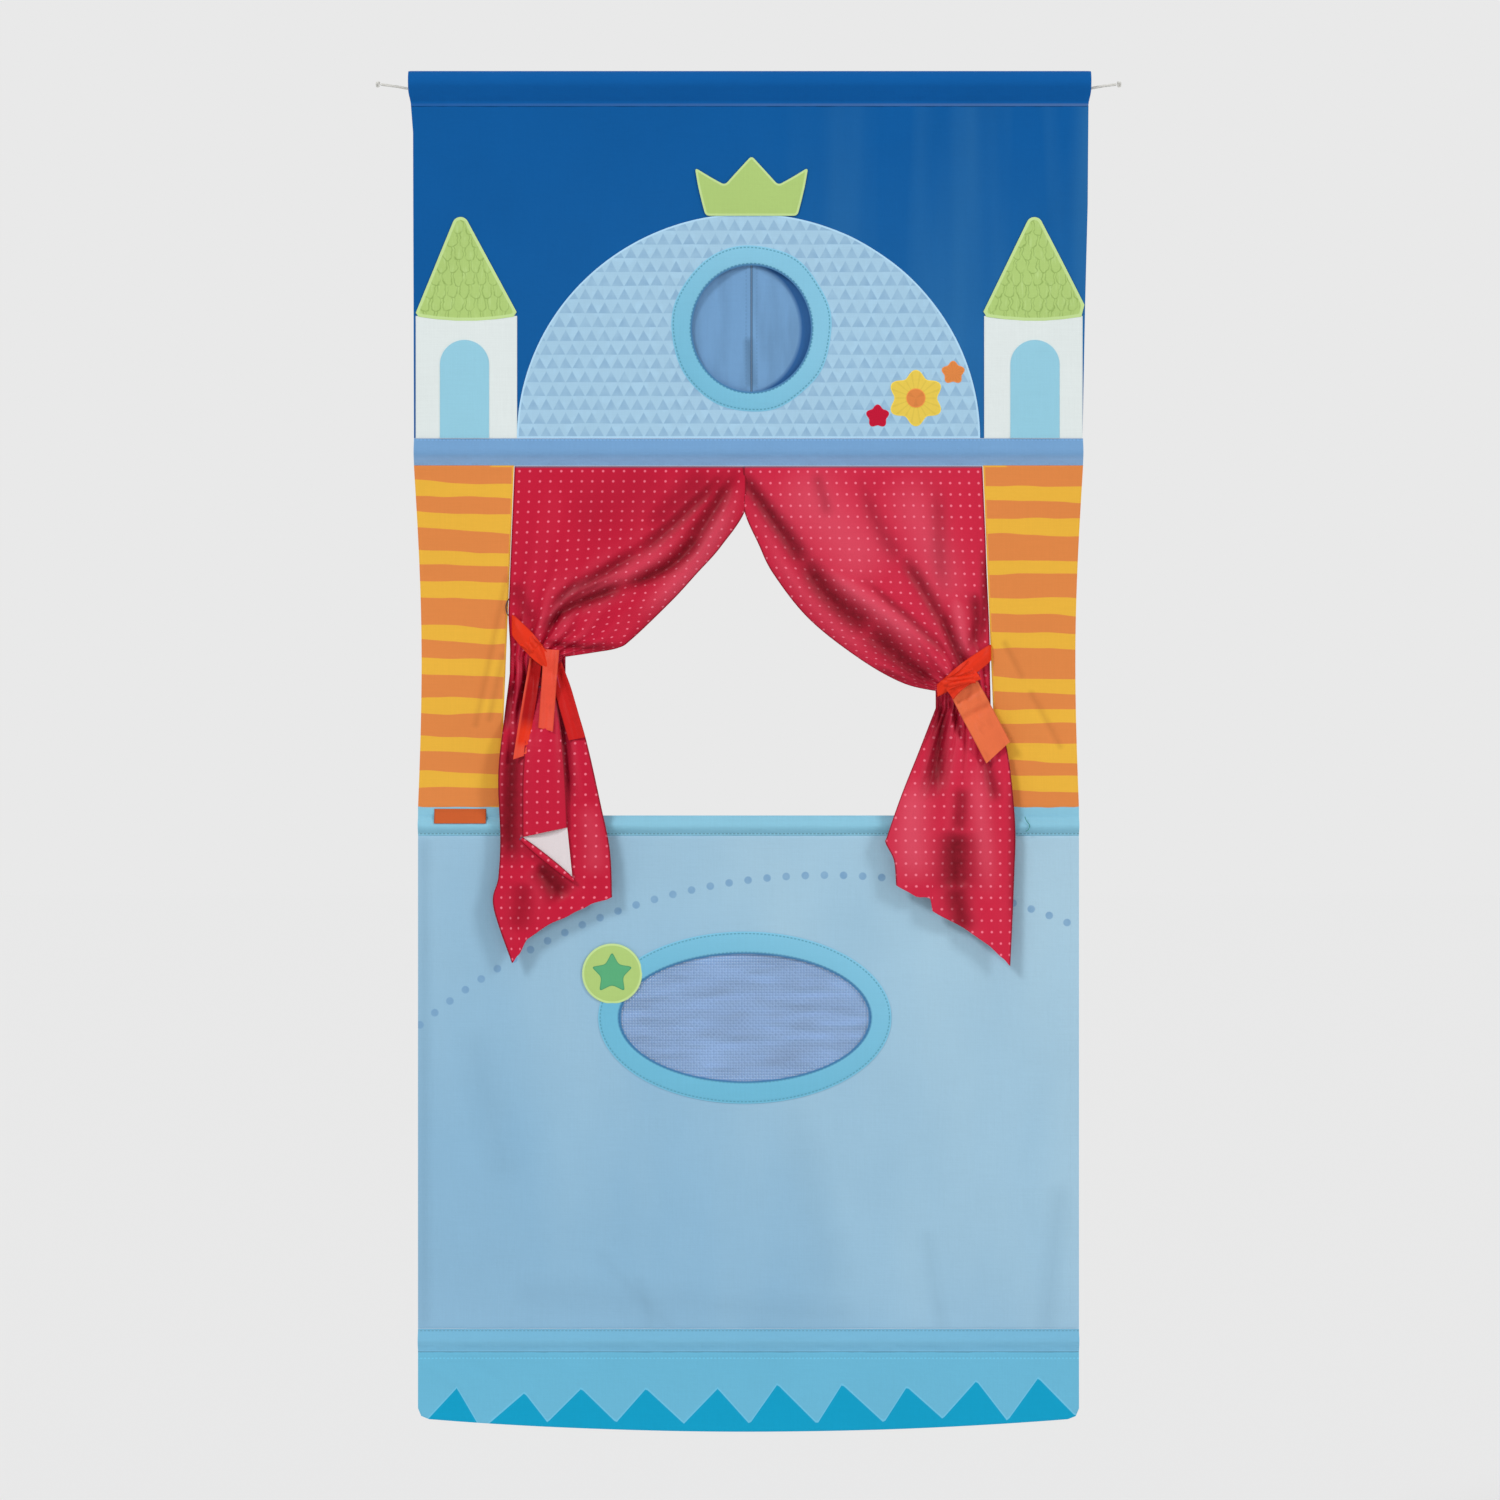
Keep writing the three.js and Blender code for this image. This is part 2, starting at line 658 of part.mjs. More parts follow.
function addDrape(curtain) {
  const { side, name, height, neckWidth, edgeShares } = curtain;
  const meet = curtainMeetOffset + side * touchGap;
  const outer = (drop) => side * THREE.MathUtils.lerp(outerAtLedge, outerAtNeck(curtain), drop);
  const width = (drop) => Math.abs(outer(drop) - meet);
  const inward = -side;
  const neckShare = neckWidth / width(1);
  const edge = new THREE.SplineCurve(
    [...edgeShares, [neckShare, 1]].map(([across, drop]) => new THREE.Vector2(across, drop)),
  );
  const rows = drapeRows + neckRows;
  const fraction = drapeRows / rows;
  const surface = (u, v) => {
    if (v > fraction) {
      const fall = (v - fraction) / (1 - fraction);
      const x = outer(1) + inward * u * neckWidth;
      return new THREE.Vector3(x, neckY + neckWave(u), stripTop - height - fall * neckHeight);
    }
    const drop = v / fraction;
    const inner = edge.getPoint(drop);
    const x = outer(drop) + inward * u * Math.min(inner.x, 1) * width(drop);
    const z = stripTop - height * THREE.MathUtils.lerp(drop, Math.min(inner.y, 1), u);
    const forward = neckY * drop - drapeForward * Math.sin(Math.PI * drop) * Math.sin(Math.PI * u);
    const wave = drapeFold * Math.sin(Math.PI * drop) * Math.sin(2 * Math.PI * drapeFoldCount * u);
    return new THREE.Vector3(x, forward + wave + neckWave(u) * smooth(drop) ** 3, z);
  };
  addPart(`curtain_${name}_drape`, clothSheet(surface, drapeColumns, rows, clothThickness), colours.red);
}

// How far the tail's middle stands out and how deep its folds are, at a distance below the neck.
function tailDepth(below) {
  return {
    middle: neckY - tailForward * smooth(below / tailForwardHeight),
    fold: neckFold + (tailFold - neckFold) * smooth(below / tailForwardHeight),
  };
}

const tailTop = (curtain) => stripTop - curtain.height - neckHeight - touchGap;

function addTail(curtain) {
  const { side, name, neckWidth, tailHeight, outerShares, innerShares } = curtain;
  const outer = side * outerAtNeck(curtain);
  const top = tailTop(curtain);
  const curve = (shares) => new THREE.SplineCurve(
    shares.map(([across, drop]) => new THREE.Vector2(across * neckWidth, drop * tailHeight)),
  );
  const outerEdge = curve(outerShares.map(([across, drop]) => [-across, drop]));
  const innerEdge = curve(innerShares);
  const surface = (u, v) => {
    const a = outerEdge.getPoint(v);
    const b = innerEdge.getPoint(v);
    const bow = tailHemBowShare * tailHeight * v * Math.sin(Math.PI * u);
    const below = Math.max(THREE.MathUtils.lerp(a.y, b.y, u) - bow, 0);
    const across = THREE.MathUtils.lerp(a.x, b.x, u);
    const { middle, fold } = tailDepth(below);
    const wave = fold * Math.cos(2 * Math.PI * tailFoldCount * u);
    return new THREE.Vector3(outer - side * across, middle + wave, top - below);
  };
  addPart(`curtain_${name}_tail`, clothSheet(surface, tailColumns, tailRows, clothThickness), colours.red);
}

// The ribbon goes round the neck and is sewn behind the side strip.
function addRibbonLoop(curtain) {
  const { side, name, height, neckWidth } = curtain;
  const halfDepth = neckFold + clothBack + touchGap;
  const outer = side * outerAtNeck(curtain);
  const from = outer + side * touchGap;
  const to = outer - side * (neckWidth + touchGap);
  const middleX = (from + to) / 2;
  const halfWidth = Math.abs(from - to) / 2;
  const ringTop = stripTop - height - (neckHeight - ribbonWidth) / 2;
  const middleZ = ringTop - ribbonWidth / 2;
  const outerBox = box(
    2 * (halfWidth + ribbonThickness), 2 * (halfDepth + ribbonThickness), ribbonWidth,
    [middleX, neckY, middleZ],
  );
  const innerBox = box(
    2 * halfWidth, 2 * halfDepth, ribbonWidth + cutOverrun, [middleX, neckY, middleZ],
  );
  const sewnBack = neckY + halfDepth + ribbonThickness / 2;
  const sewn = box(
    ribbonSewnLength, ribbonThickness, ribbonWidth,
    [from + side * ribbonSewnLength / 2, sewnBack, middleZ],
  );
  const ring = toSolid(outerBox).subtract(toSolid(innerBox)).add(toSolid(sewn));
  addPart(`ribbon_${name}_loop`, toGeometry(ring), colours.ribbon, 0.6);
}

// A ribbon end hangs below the loop, in front of the curtain's tail.
function addRibbonEnd(name, curtain, width, length, lean, neckShare) {
  const outer = curtain.side * outerAtNeck(curtain);
  const start = outer - curtain.side * neckShare * curtain.neckWidth;
  const top = tailTop(curtain) - ribbonThickness;
  const surface = (u, v) => {
    const below = v * length;
    const { middle, fold } = tailDepth(below);
    const y = middle - fold - clothBack - touchGap - ribbonThickness / 2;
    return new THREE.Vector3(start + lean * below + (u - 0.5) * width, y, top - below);
  };
  const ribbon = clothSheet(surface, 1, ribbonEndRows, ribbonThickness);
  addPart(`ribbon_${curtain.name}_${name}`, ribbon, colours.ribbon, 0.6);
}

function addStageEdge() {
  const ears = [-1, 1].map((side) => box(
    stageEarWidth, clothThickness, stageEarHeight + stageTunnelHeight / 4,
    [
      side * (stageWidth - stageEarWidth) / 2,
      0,
      stageTop - (stageEarHeight + stageTunnelHeight / 4) / 2,
    ],
  ));
  addTunnelAndRod('stage', stageWidth, stageTunnelTop, stageTunnelHeight, ears);

  // The tab is sewn into the seam and lies on the tunnel's front.
  const slopeTop = clothBack + touchGap;
  const tunnelFront = slimRodRadius + touchGap + clothThickness;
  const tabTop = stageTop - touchGap;
  const tabKnee = tabTop - stageEarHeight / 2;
  const tabBottom = tabTop - tabLength;
  const front = tunnelFront + touchGap;
  const section = new THREE.Shape([
    new THREE.Vector2(-slopeTop, tabTop),
    new THREE.Vector2(-slopeTop - patchThickness, tabTop),
    new THREE.Vector2(-slopeTop - patchThickness, tabKnee),
    new THREE.Vector2(-front - patchThickness, tabBottom),
    new THREE.Vector2(-front, tabBottom),
    new THREE.Vector2(-slopeTop, tabKnee + patchThickness / 2),
  ]);
  const tab = alongX(section, tabWidth, 0);
  tab.translate(tabInset + (tabWidth - stageWidth) / 2, 0, 0);
  addPart('seam_tab', tab, colours.tab);
}

const ovalZ = lowerPanelTop - ovalDrop;

function addLowerPanel() {
  const half = stageWidth / 2;
  const panel = new THREE.Shape([
    new THREE.Vector2(-half, lowerPanelBottom),
    new THREE.Vector2(half, lowerPanelBottom),
    new THREE.Vector2(half, lowerPanelTop),
    new THREE.Vector2(-half, lowerPanelTop),
  ]);
  panel.holes.push(ellipseHole(ovalHalfWidth, ovalHalfHeight, ovalOffset, ovalZ));
  addPart('lower_panel', plate(panel, clothBack, clothThickness), colours.paleBlue);

  const frame = ellipseShape(ovalHalfWidth + ovalBand, ovalHalfHeight + ovalBand, ovalOffset, ovalZ);
  frame.holes.push(ellipseHole(ovalHalfWidth, ovalHalfHeight, ovalOffset, ovalZ));
  addPart('oval_window_frame', plate(frame, layerBack(1), patchThickness), colours.cyan);

  const badge = ellipseShape(badgeRadius, badgeRadius, ovalOffset + badgeOffset, ovalZ + badgeRise);
  addPart('badge_disc', plate(badge, layerBack(2), patchThickness), colours.lime);
  const starOutline = [];
  for (let i = 0; i < 2 * starPoints; i += 1) {
    const radius = i % 2 === 0 ? starReach : starReach * starInnerShare;
    const angle = (Math.PI * i) / starPoints;
    starOutline.push(new THREE.Vector2(
      ovalOffset + badgeOffset + radius * Math.sin(angle),
      ovalZ + badgeRise + radius * Math.cos(angle),
    ));
  }
  const star = new THREE.Shape(starOutline);
  addPart('badge_star', plate(star, layerBack(3), patchThickness), colours.green);
}

// The net: strands both ways inside a rim, sewn behind the oval hole.
function addNet() {
  const halfWidth = ovalHalfWidth + netMargin;
  const halfHeight = ovalHalfHeight + netMargin;
  const back = behindCloth + netThickness;
  const middle = back - netThickness / 2;
  const rimShape = ellipseShape(halfWidth, halfHeight, ovalOffset, ovalZ);
  const disc = toSolid(plate(rimShape, back, netThickness));
  const innerDisc = toSolid(plate(
    ellipseShape(halfWidth - netRim, halfHeight - netRim, ovalOffset, ovalZ),
    back + cutOverrun,
    netThickness + 2 * cutOverrun,
  ));
  let strands = null;
  const join = (piece) => {
    strands = strands === null ? piece : strands.add(piece);
  };
  const columns = Math.floor(halfWidth / netPitch);
  const rows = Math.floor(halfHeight / netPitch);
  for (let i = -columns; i <= columns; i += 1) {
    const x = ovalOffset + i * netPitch;
    join(toSolid(box(netStrand, netThickness, 2 * halfHeight, [x, middle, ovalZ])));
  }
  for (let i = -rows; i <= rows; i += 1) {
    const z = ovalZ + i * netPitch;
    join(toSolid(box(2 * halfWidth, netThickness, netStrand, [ovalOffset, middle, z])));
  }
  const net = strands.intersect(disc).add(disc.subtract(innerDisc));
  addPart('oval_window_net', toGeometry(net), colours.net);
}

function addValance() {
  const half = stageWidth / 2;
  const side = valanceTop - valanceHeight + valanceBow;
  const points = [
    new THREE.Vector2(half, valanceTop),
    new THREE.Vector2(-half, valanceTop),
    new THREE.Vector2(-half, side + valanceCorner),
    new THREE.Vector2(-half + valanceCorner, side),
  ];
  const bowSteps = 2 * stripSteps;
  for (let i = 1; i < bowSteps; i += 1) {
    const share = (2 * i) / bowSteps - 1;
    const reach = half - valanceCorner;
    points.push(new THREE.Vector2(share * reach, side - valanceBow * (1 - share * share)));
  }
  points.push(new THREE.Vector2(half - valanceCorner, side));
  points.push(new THREE.Vector2(half, side + valanceCorner));
  addPart('valance', plate(new THREE.Shape(points), clothBack, clothThickness), colours.valance);
}

addTopRod();
addSkyPanel();
addCastle();
addTower(-1, 'left');
addTower(1, 'right');
addFlowers();
addFlap(-1, 'left');
addFlap(1, 'right');
addTunnelAndRod('ledge', skyBottomWidth, ledgeTop, ledgeHeight, []);
addStrip(-1, 'left');
addStrip(1, 'right');
for (const curtain of [leftCurtain, rightCurtain]) {
  addDrape(curtain);
  addTail(curtain);
  addRibbonLoop(curtain);
}
addRibbonEnd(
  'outer_end', leftCurtain, ribbonEndWidth, outerEndLength, outerEndLeanShare, outerEndNeckShare,
);
addRibbonEnd(
  'middle_end', leftCurtain, ribbonEndWidth, middleEndLength, middleEndLeanShare, middleEndNeckShare,
);
addRibbonEnd(
  'inner_end', leftCurtain, ribbonEndWidth, innerEndLength, innerEndLeanShare, innerEndNeckShare,
);
addRibbonEnd('wide_end', rightCurtain, wideEndWidth, wideEndLength, wideEndLeanShare, wideEndNeckShare);
addStageEdge();
addLowerPanel();
addNet();
addTunnelAndRod('bottom', stageWidth, bottomBandTop, bottomTunnelHeight, []);
addValance();

export default theatre;
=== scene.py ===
from math import acos, asin, atan2, ceil, copysign, cos, degrees, exp, hypot, pi, radians, sin, sqrt, tan

import bpy
import numpy as np
from bpy.props import FloatProperty, FloatVectorProperty, PointerProperty
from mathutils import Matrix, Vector, geometry, noise


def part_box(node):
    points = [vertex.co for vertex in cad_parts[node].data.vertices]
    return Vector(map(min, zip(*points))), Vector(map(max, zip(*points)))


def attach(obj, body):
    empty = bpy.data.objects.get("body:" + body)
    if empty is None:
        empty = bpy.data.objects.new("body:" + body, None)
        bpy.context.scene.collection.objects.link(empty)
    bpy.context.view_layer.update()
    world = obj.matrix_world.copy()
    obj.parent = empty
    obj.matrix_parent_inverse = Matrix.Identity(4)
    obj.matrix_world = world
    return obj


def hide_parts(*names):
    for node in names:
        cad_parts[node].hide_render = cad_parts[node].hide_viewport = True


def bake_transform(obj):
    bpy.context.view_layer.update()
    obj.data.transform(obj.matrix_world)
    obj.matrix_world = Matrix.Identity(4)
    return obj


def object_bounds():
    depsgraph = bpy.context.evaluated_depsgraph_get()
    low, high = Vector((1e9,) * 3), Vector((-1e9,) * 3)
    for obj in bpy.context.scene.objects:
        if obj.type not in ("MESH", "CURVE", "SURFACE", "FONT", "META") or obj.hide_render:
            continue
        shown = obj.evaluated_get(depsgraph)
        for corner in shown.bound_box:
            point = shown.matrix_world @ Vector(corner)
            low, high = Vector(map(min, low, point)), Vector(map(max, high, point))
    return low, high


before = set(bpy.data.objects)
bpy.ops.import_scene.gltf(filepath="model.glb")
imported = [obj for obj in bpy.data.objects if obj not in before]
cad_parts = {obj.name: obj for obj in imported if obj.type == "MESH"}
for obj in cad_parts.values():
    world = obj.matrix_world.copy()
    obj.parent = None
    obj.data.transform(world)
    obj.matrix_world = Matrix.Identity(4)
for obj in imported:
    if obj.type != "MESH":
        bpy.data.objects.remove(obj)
cad_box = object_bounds()

bl_info = {
    "name": "Doorway puppet theatre",
    "version": (1, 0, 0),
    "blender": (4, 5, 0),
    "location": "3D View > Sidebar > Theatre",
    "description": "Dresses a hanging cloth puppet theatre over its packed model",
    "category": "Object",
}

# Metres throughout. +X is the right-hand side seen from the front, -Y is the front, +Z is up.
# The origin is the middle of the top rod's axis.

both_sides = (-1, "left"), (1, "right")

# Photograph and camera
view_width = 1.65
view_centre_x = 0.00165
view_centre_z = -0.73425
camera_distance = 4.6
photo_scale = 0.0011
photo_centre_x = 748.5
photo_axis_y = 82.5
sensor_width = 36.0
world_light = 0.38
floor_gap = 0.45
floor_share = 1.03
suns = (
    ("key_left", (0.55, 0.62, -0.6), 1.25), ("key_right", (-0.75, 0.55, -0.5), 0.98),
    ("behind", (0.2, -0.8, -0.6), 1.1),
)

# Cloth
touch_gap = 0.0003
layer_pitch = 0.0008
patch_puff = 0.0004
roof_bow = 0.0052
hem_width = 0.009
stitch_pitch = 0.0042
stitch_length_share = 0.62
stitch_width = 0.0009
thread_relief = 0.00006
crumple_relief = 0.0005

# Cord
cord_reach = 0.031
cord_thickness = 0.003
cord_exit_drop = 0.0062
ply_groove = 0.16

# Header and sky
header_stitch_z = -0.0253
header_edge_z = -0.009
header_radius = 0.0117
header_tip = 0.0228
header_half = 0.375
header_shift = 0.0013
sky_top_half = 0.3725
sky_bottom_half = 0.368
sky_fold_start = 0.06
sky_fold_pitch = 0.062
window_x = 0.0033
window_z = -0.2708
window_half_width = 0.066
window_half_height = 0.07
shaded_facing_shift = 0.015
flap_billow = 0.0035

# Stage opening
stage_half = 0.3635
tunnel_bulge = 0.0057
tunnel_edge = 0.0023
stage_tunnel_height = 0.022
ear_start = 0.019
ear_length = 0.092
strip_top_z = -0.4225
strip_height = 0.3752
strip_draw_in = 0.006
strip_inner_top = 0.258
strip_inner_bottom = 0.2735

# Curtains
curtain_gap = 0.0006
drape_start = 0.09
strip_left_at = 0.74
neck_gap = 0.0045
curtain_meet_x = -0.004
curtain_lap = 0.0015
lap_step = 0.0014
drape_belly = 0.006
edge_turn = 0.003
loop_reach = 0.0105
ribbon_crumple = 0.0011
neck_height = 0.019
neck_depth = 0.0025
fold_shade = 0.0035
calm_radius = 0.1
fold_cell = 1.5
fold_steps = 60
fold_taper = 0.3
tone_spread = 1.25
hollow_shade = 0.55
crest_highlight = 0.3
gather_depth = 0.0026
gather_reach = 0.042
tail_forward = 0.014
tail_forward_height = 0.12
tail_blend_height = 0.03

# Lower panel
oval_x = -0.004
oval_z = -1.0286
oval_half_width = 0.137
oval_half_height = 0.0704
oval_band = 0.0243
arc_x = 0.0869
arc_z = -1.5642
arc_radius = 0.6923
arc_pitch = 0.02105
arc_phase = 0.0034
arc_dot_radius = 0.0047
net_pitch = 0.0031
net_strand = 0.0023
net_margin = 0.009

ledge_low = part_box("ledge_band")[0].z
panel_low, panel_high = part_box("lower_panel")[0].z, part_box("lower_panel")[1].z


def length(name, description, default):
    """A size that a user may change."""
    return FloatProperty(name=name, description=description, default=default, min=0.0, unit="LENGTH")


def dye(name, description, red, green, blue):
    """A colour that a user may change, given as it shows on a screen, from 0 to 255."""
    return FloatVectorProperty(
        name=name, description=description, size=3, subtype="COLOR", min=0.0, max=1.0,
        default=[to_linear(value / 255) for value in (red, green, blue)],
    )


def to_linear(value):
    return value / 12.92 if value <= 0.04045 else ((value + 0.055) / 1.055) ** 2.4


def toned(colour, share):
    """The colour, darker or paler by that share."""
    return tuple(min(c * share, 1) for c in colour)


def settings(context):
    return context.scene.theatre_sizes, context.scene.theatre_colours


class TheatreSizes(bpy.types.PropertyGroup):
    cloth: length("Cloth", "Thickness of one layer of cloth", 0.0008)
    patch: length("Patch", "Thickness of a sewn-on patch", 0.0006)
    ribbon: length("Ribbon", "Thickness of the tie ribbons", 0.0007)
    mesh: length("Mesh", "Distance between the points of a cloth's mesh", 0.0052)
    sky_fold: length("Sky folds", "Depth of the upright folds under the header", 0.0018)
    drift: length("Drift", "Depth of the slow waves in a hanging panel", 0.0014)
    curtain_fold: length("Curtain folds", "Depth of a main fold in a tied-back curtain", 0.0068)
    dot_pitch: length("Dot pitch", "Distance between the dots on the curtains", 0.0115)
    dot: length("Dot", "Radius of a dot on the curtains", 0.0017)
    triangle: length("Triangle", "Pitch of the small triangles on the dome", 0.0143)
    scale: length("Scale", "Pitch of the scales on the roofs", 0.0125)


class TheatreColours(bpy.types.PropertyGroup):
    sky: dye("Sky", "Sky cloth", 12, 90, 158)
    # Painted light: the sky cloth paler on its folds' crests and towards the right, where the light falls
    sky_lit: dye("Worn sky", "Sky cloth where folds rub it paler", 52, 116, 170)
    sky_low: dye("Low sky", "Sky cloth near the ledge", 40, 108, 166)
    header: dye("Header", "Sky cloth where it is doubled over the rod", 12, 92, 164)
    dome: dye("Dome", "Dome cloth", 168, 205, 229)
    dome_print: dye("Dome print", "Small triangles on the dome", 141, 179, 210)
    cyan: dye("Cyan", "Bindings round the windows", 112, 186, 215)
    cyan_pale: dye("Pale cyan", "Bindings where they catch the light", 136, 199, 226)
    periwinkle: dye("Periwinkle", "Ledge band and window flaps", 118, 162, 206)
    periwinkle_pale: dye("Pale periwinkle", "Lower half of the ledge band", 140, 177, 218)
    # Painted light: the ledge band's paler lower half
    lime: dye("Lime", "Crown, roofs and badge", 177, 206, 122)
    lime_edge: dye("Lime edge", "Outline of the lime patches", 198, 225, 152)
    lime_print: dye("Lime print", "Scales on the roofs", 132, 162, 82)
    white: dye("White", "Tower walls", 226, 234, 233)
    window: dye("Tower windows", "Arched windows of the towers", 150, 205, 225)
    orange: dye("Orange", "Side strips", 225, 136, 72)
    yellow: dye("Yellow", "Stripes on the side strips", 236, 181, 64)
    flower: dye("Flower", "Large flower", 233, 203, 84)
    red: dye("Red", "Left curtain's satin", 196, 24, 56)
    red_sheen: dye("Red sheen", "Right curtain's satin, which the light catches", 204, 36, 66)
    # Painted highlight on the crests of the satin's folds
    satin_highlight: dye("Glow", "Crests of the satin's folds", 226, 86, 108)
    dots: dye("Dots", "Dots on the curtains", 246, 122, 144)
    lining: dye("Lining", "Back of the curtain satin", 226, 216, 218)
    ribbon: dye("Ribbon", "Tie ribbons", 228, 52, 24)
    ribbon_shade: dye("Shaded ribbon", "Ribbon end that lies under the others", 200, 28, 26)
    ribbon_pale: dye("Pale ribbon", "Ribbon end that faces the light", 230, 80, 58)
    ribbon_wide: dye("Wide ribbon", "Wide ribbon end on the right", 230, 112, 68)
    ribbon_deep: dye("Deep ribbon", "Ribbon end in the shade of the tie", 168, 12, 14)
    panel: dye("Panel", "Lower panel", 140, 183, 212)
    # Painted light: the lower panel paler towards the upper right, where the light falls
    panel_lit: dye("Worn panel", "Lower panel where it catches the light", 170, 204, 223)
    panel_print: dye("Panel print", "Arc of dots on the lower panel", 116, 158, 196)
    stage: dye("Stage edge", "Band at the foot of the stage opening", 140, 198, 221)
    net: dye("Net", "Net behind the oval window", 120, 154, 198)
    # Dark blue for painted shade: the shaded sky cloth beside the right flap and the dark line at the
    # windows' holes
    shaded_facing: dye("Facing", "Sky cloth that shows beside the right flap", 40, 92, 152)
    green: dye("Green", "Star on the badge", 92, 174, 124)
    band: dye("Bottom band", "Band over the bottom rod", 120, 182, 213)
    valance: dye("Valance", "Valance", 107, 183, 214)
    valance_print: dye("Valance print", "Triangles along the valance", 18, 158, 199)
    tab: dye("Tab", "Tab in the seam", 200, 95, 48)
    cord: dye("Cord", "Hanging cord", 222, 221, 216)
    backdrop: dye("Backdrop", "Floor and backdrop", 233, 233, 233)


# Shader maths


def add_node(tree, kind, inputs=(), output=0, stops=(), **settings):
    """Adds a node, sets it up, feeds its sockets with values or signals and returns one output."""
    node = tree.nodes.new(kind)
    for key, value in settings.items():
        setattr(node.color_ramp if key == "interpolation" else node, key, value)
    for index, (place, value) in enumerate(stops):
        elements = node.color_ramp.elements
        stop = elements[index] if index < len(elements) else elements.new(place)
        stop.position = place
        stop.color = (*value, 1.0) if hasattr(value, "__len__") else (value, value, value, 1.0)
    for key, value in dict(inputs).items():
        if isinstance(value, Signal):
            tree.links.new(value.socket, node.inputs[key])
        else:
            socket = node.inputs[key]
            socket.default_value = (*value, 1.0) if socket.type == "RGBA" else value
    return Signal(node.outputs[output])


class Signal:
    """An output socket of a material's nodes, with arithmetic that adds Math nodes."""

    def __init__(self, socket):
        self.socket = socket

    def maths(self, operation, *others, clamp=False):
        inputs = dict(enumerate((self, *others)))
        return add_node(self.socket.id_data, "ShaderNodeMath", inputs, operation=operation, use_clamp=clamp)

    def __add__(self, other):
        return self.maths("ADD", other)

    def __sub__(self, other):
        return self.maths("SUBTRACT", other)

    def __mul__(self, other):
        return self.maths("MULTIPLY", other)

    def __truediv__(self, other):
        return self.maths("DIVIDE", other)

    def __rsub__(self, other):
        return self.maths("MULTIPLY_ADD", -1.0, other)

    __radd__ = __add__
    __rmul__ = __mul__

    def clamped(self, gain=1.0):
        """The signal times a gain, kept between 0 and 1."""
        return self.maths("MULTIPLY", gain, clamp=True)

    def fract(self):
        return self.maths("FRACT")

    def floor(self):
        return self.maths("FLOOR")

    def absolute(self):
        return self.maths("ABSOLUTE")

    def below(self, limit, soft):
        """1 where the signal is under the limit, 0 above it, with an edge of that softness."""
        return (limit - self).maths("DIVIDE", soft, clamp=True)

    def both(self, other):
        return self.maths("MINIMUM", other)

    def either(self, other):
        return self.maths("MAXIMUM", other)


def new_material(name):
    """A new material, its nodes and its shader."""
    material = bpy.data.materials.new(name)
    material.use_nodes = True
    return material, material.node_tree, material.node_tree.nodes["Principled BSDF"]


def feed(shader, socket, signal):
    signal.socket.id_data.links.new(signal.socket, shader.inputs[socket])


def mix(tree, factor, first, second, blend="MIX"):
    inputs = {0: factor, 6: first, 7: second}
    return add_node(tree, "ShaderNodeMix", inputs, 2, data_type="RGBA", blend_type=blend)


def stretched(tree, vector, *shares):
    """A place or a map, scaled unevenly, for streaks."""
    return add_node(tree, "ShaderNodeVectorMath", {0: vector, 1: shares}, operation="MULTIPLY")


def mottling(tree, vector, scale, detail, distortion=0.0):
    """Noise from 0 to 1."""
    inputs = {"Vector": vector, "Scale": scale, "Detail": detail, "Distortion": distortion}
    return add_node(tree, "ShaderNodeTexNoise", inputs)


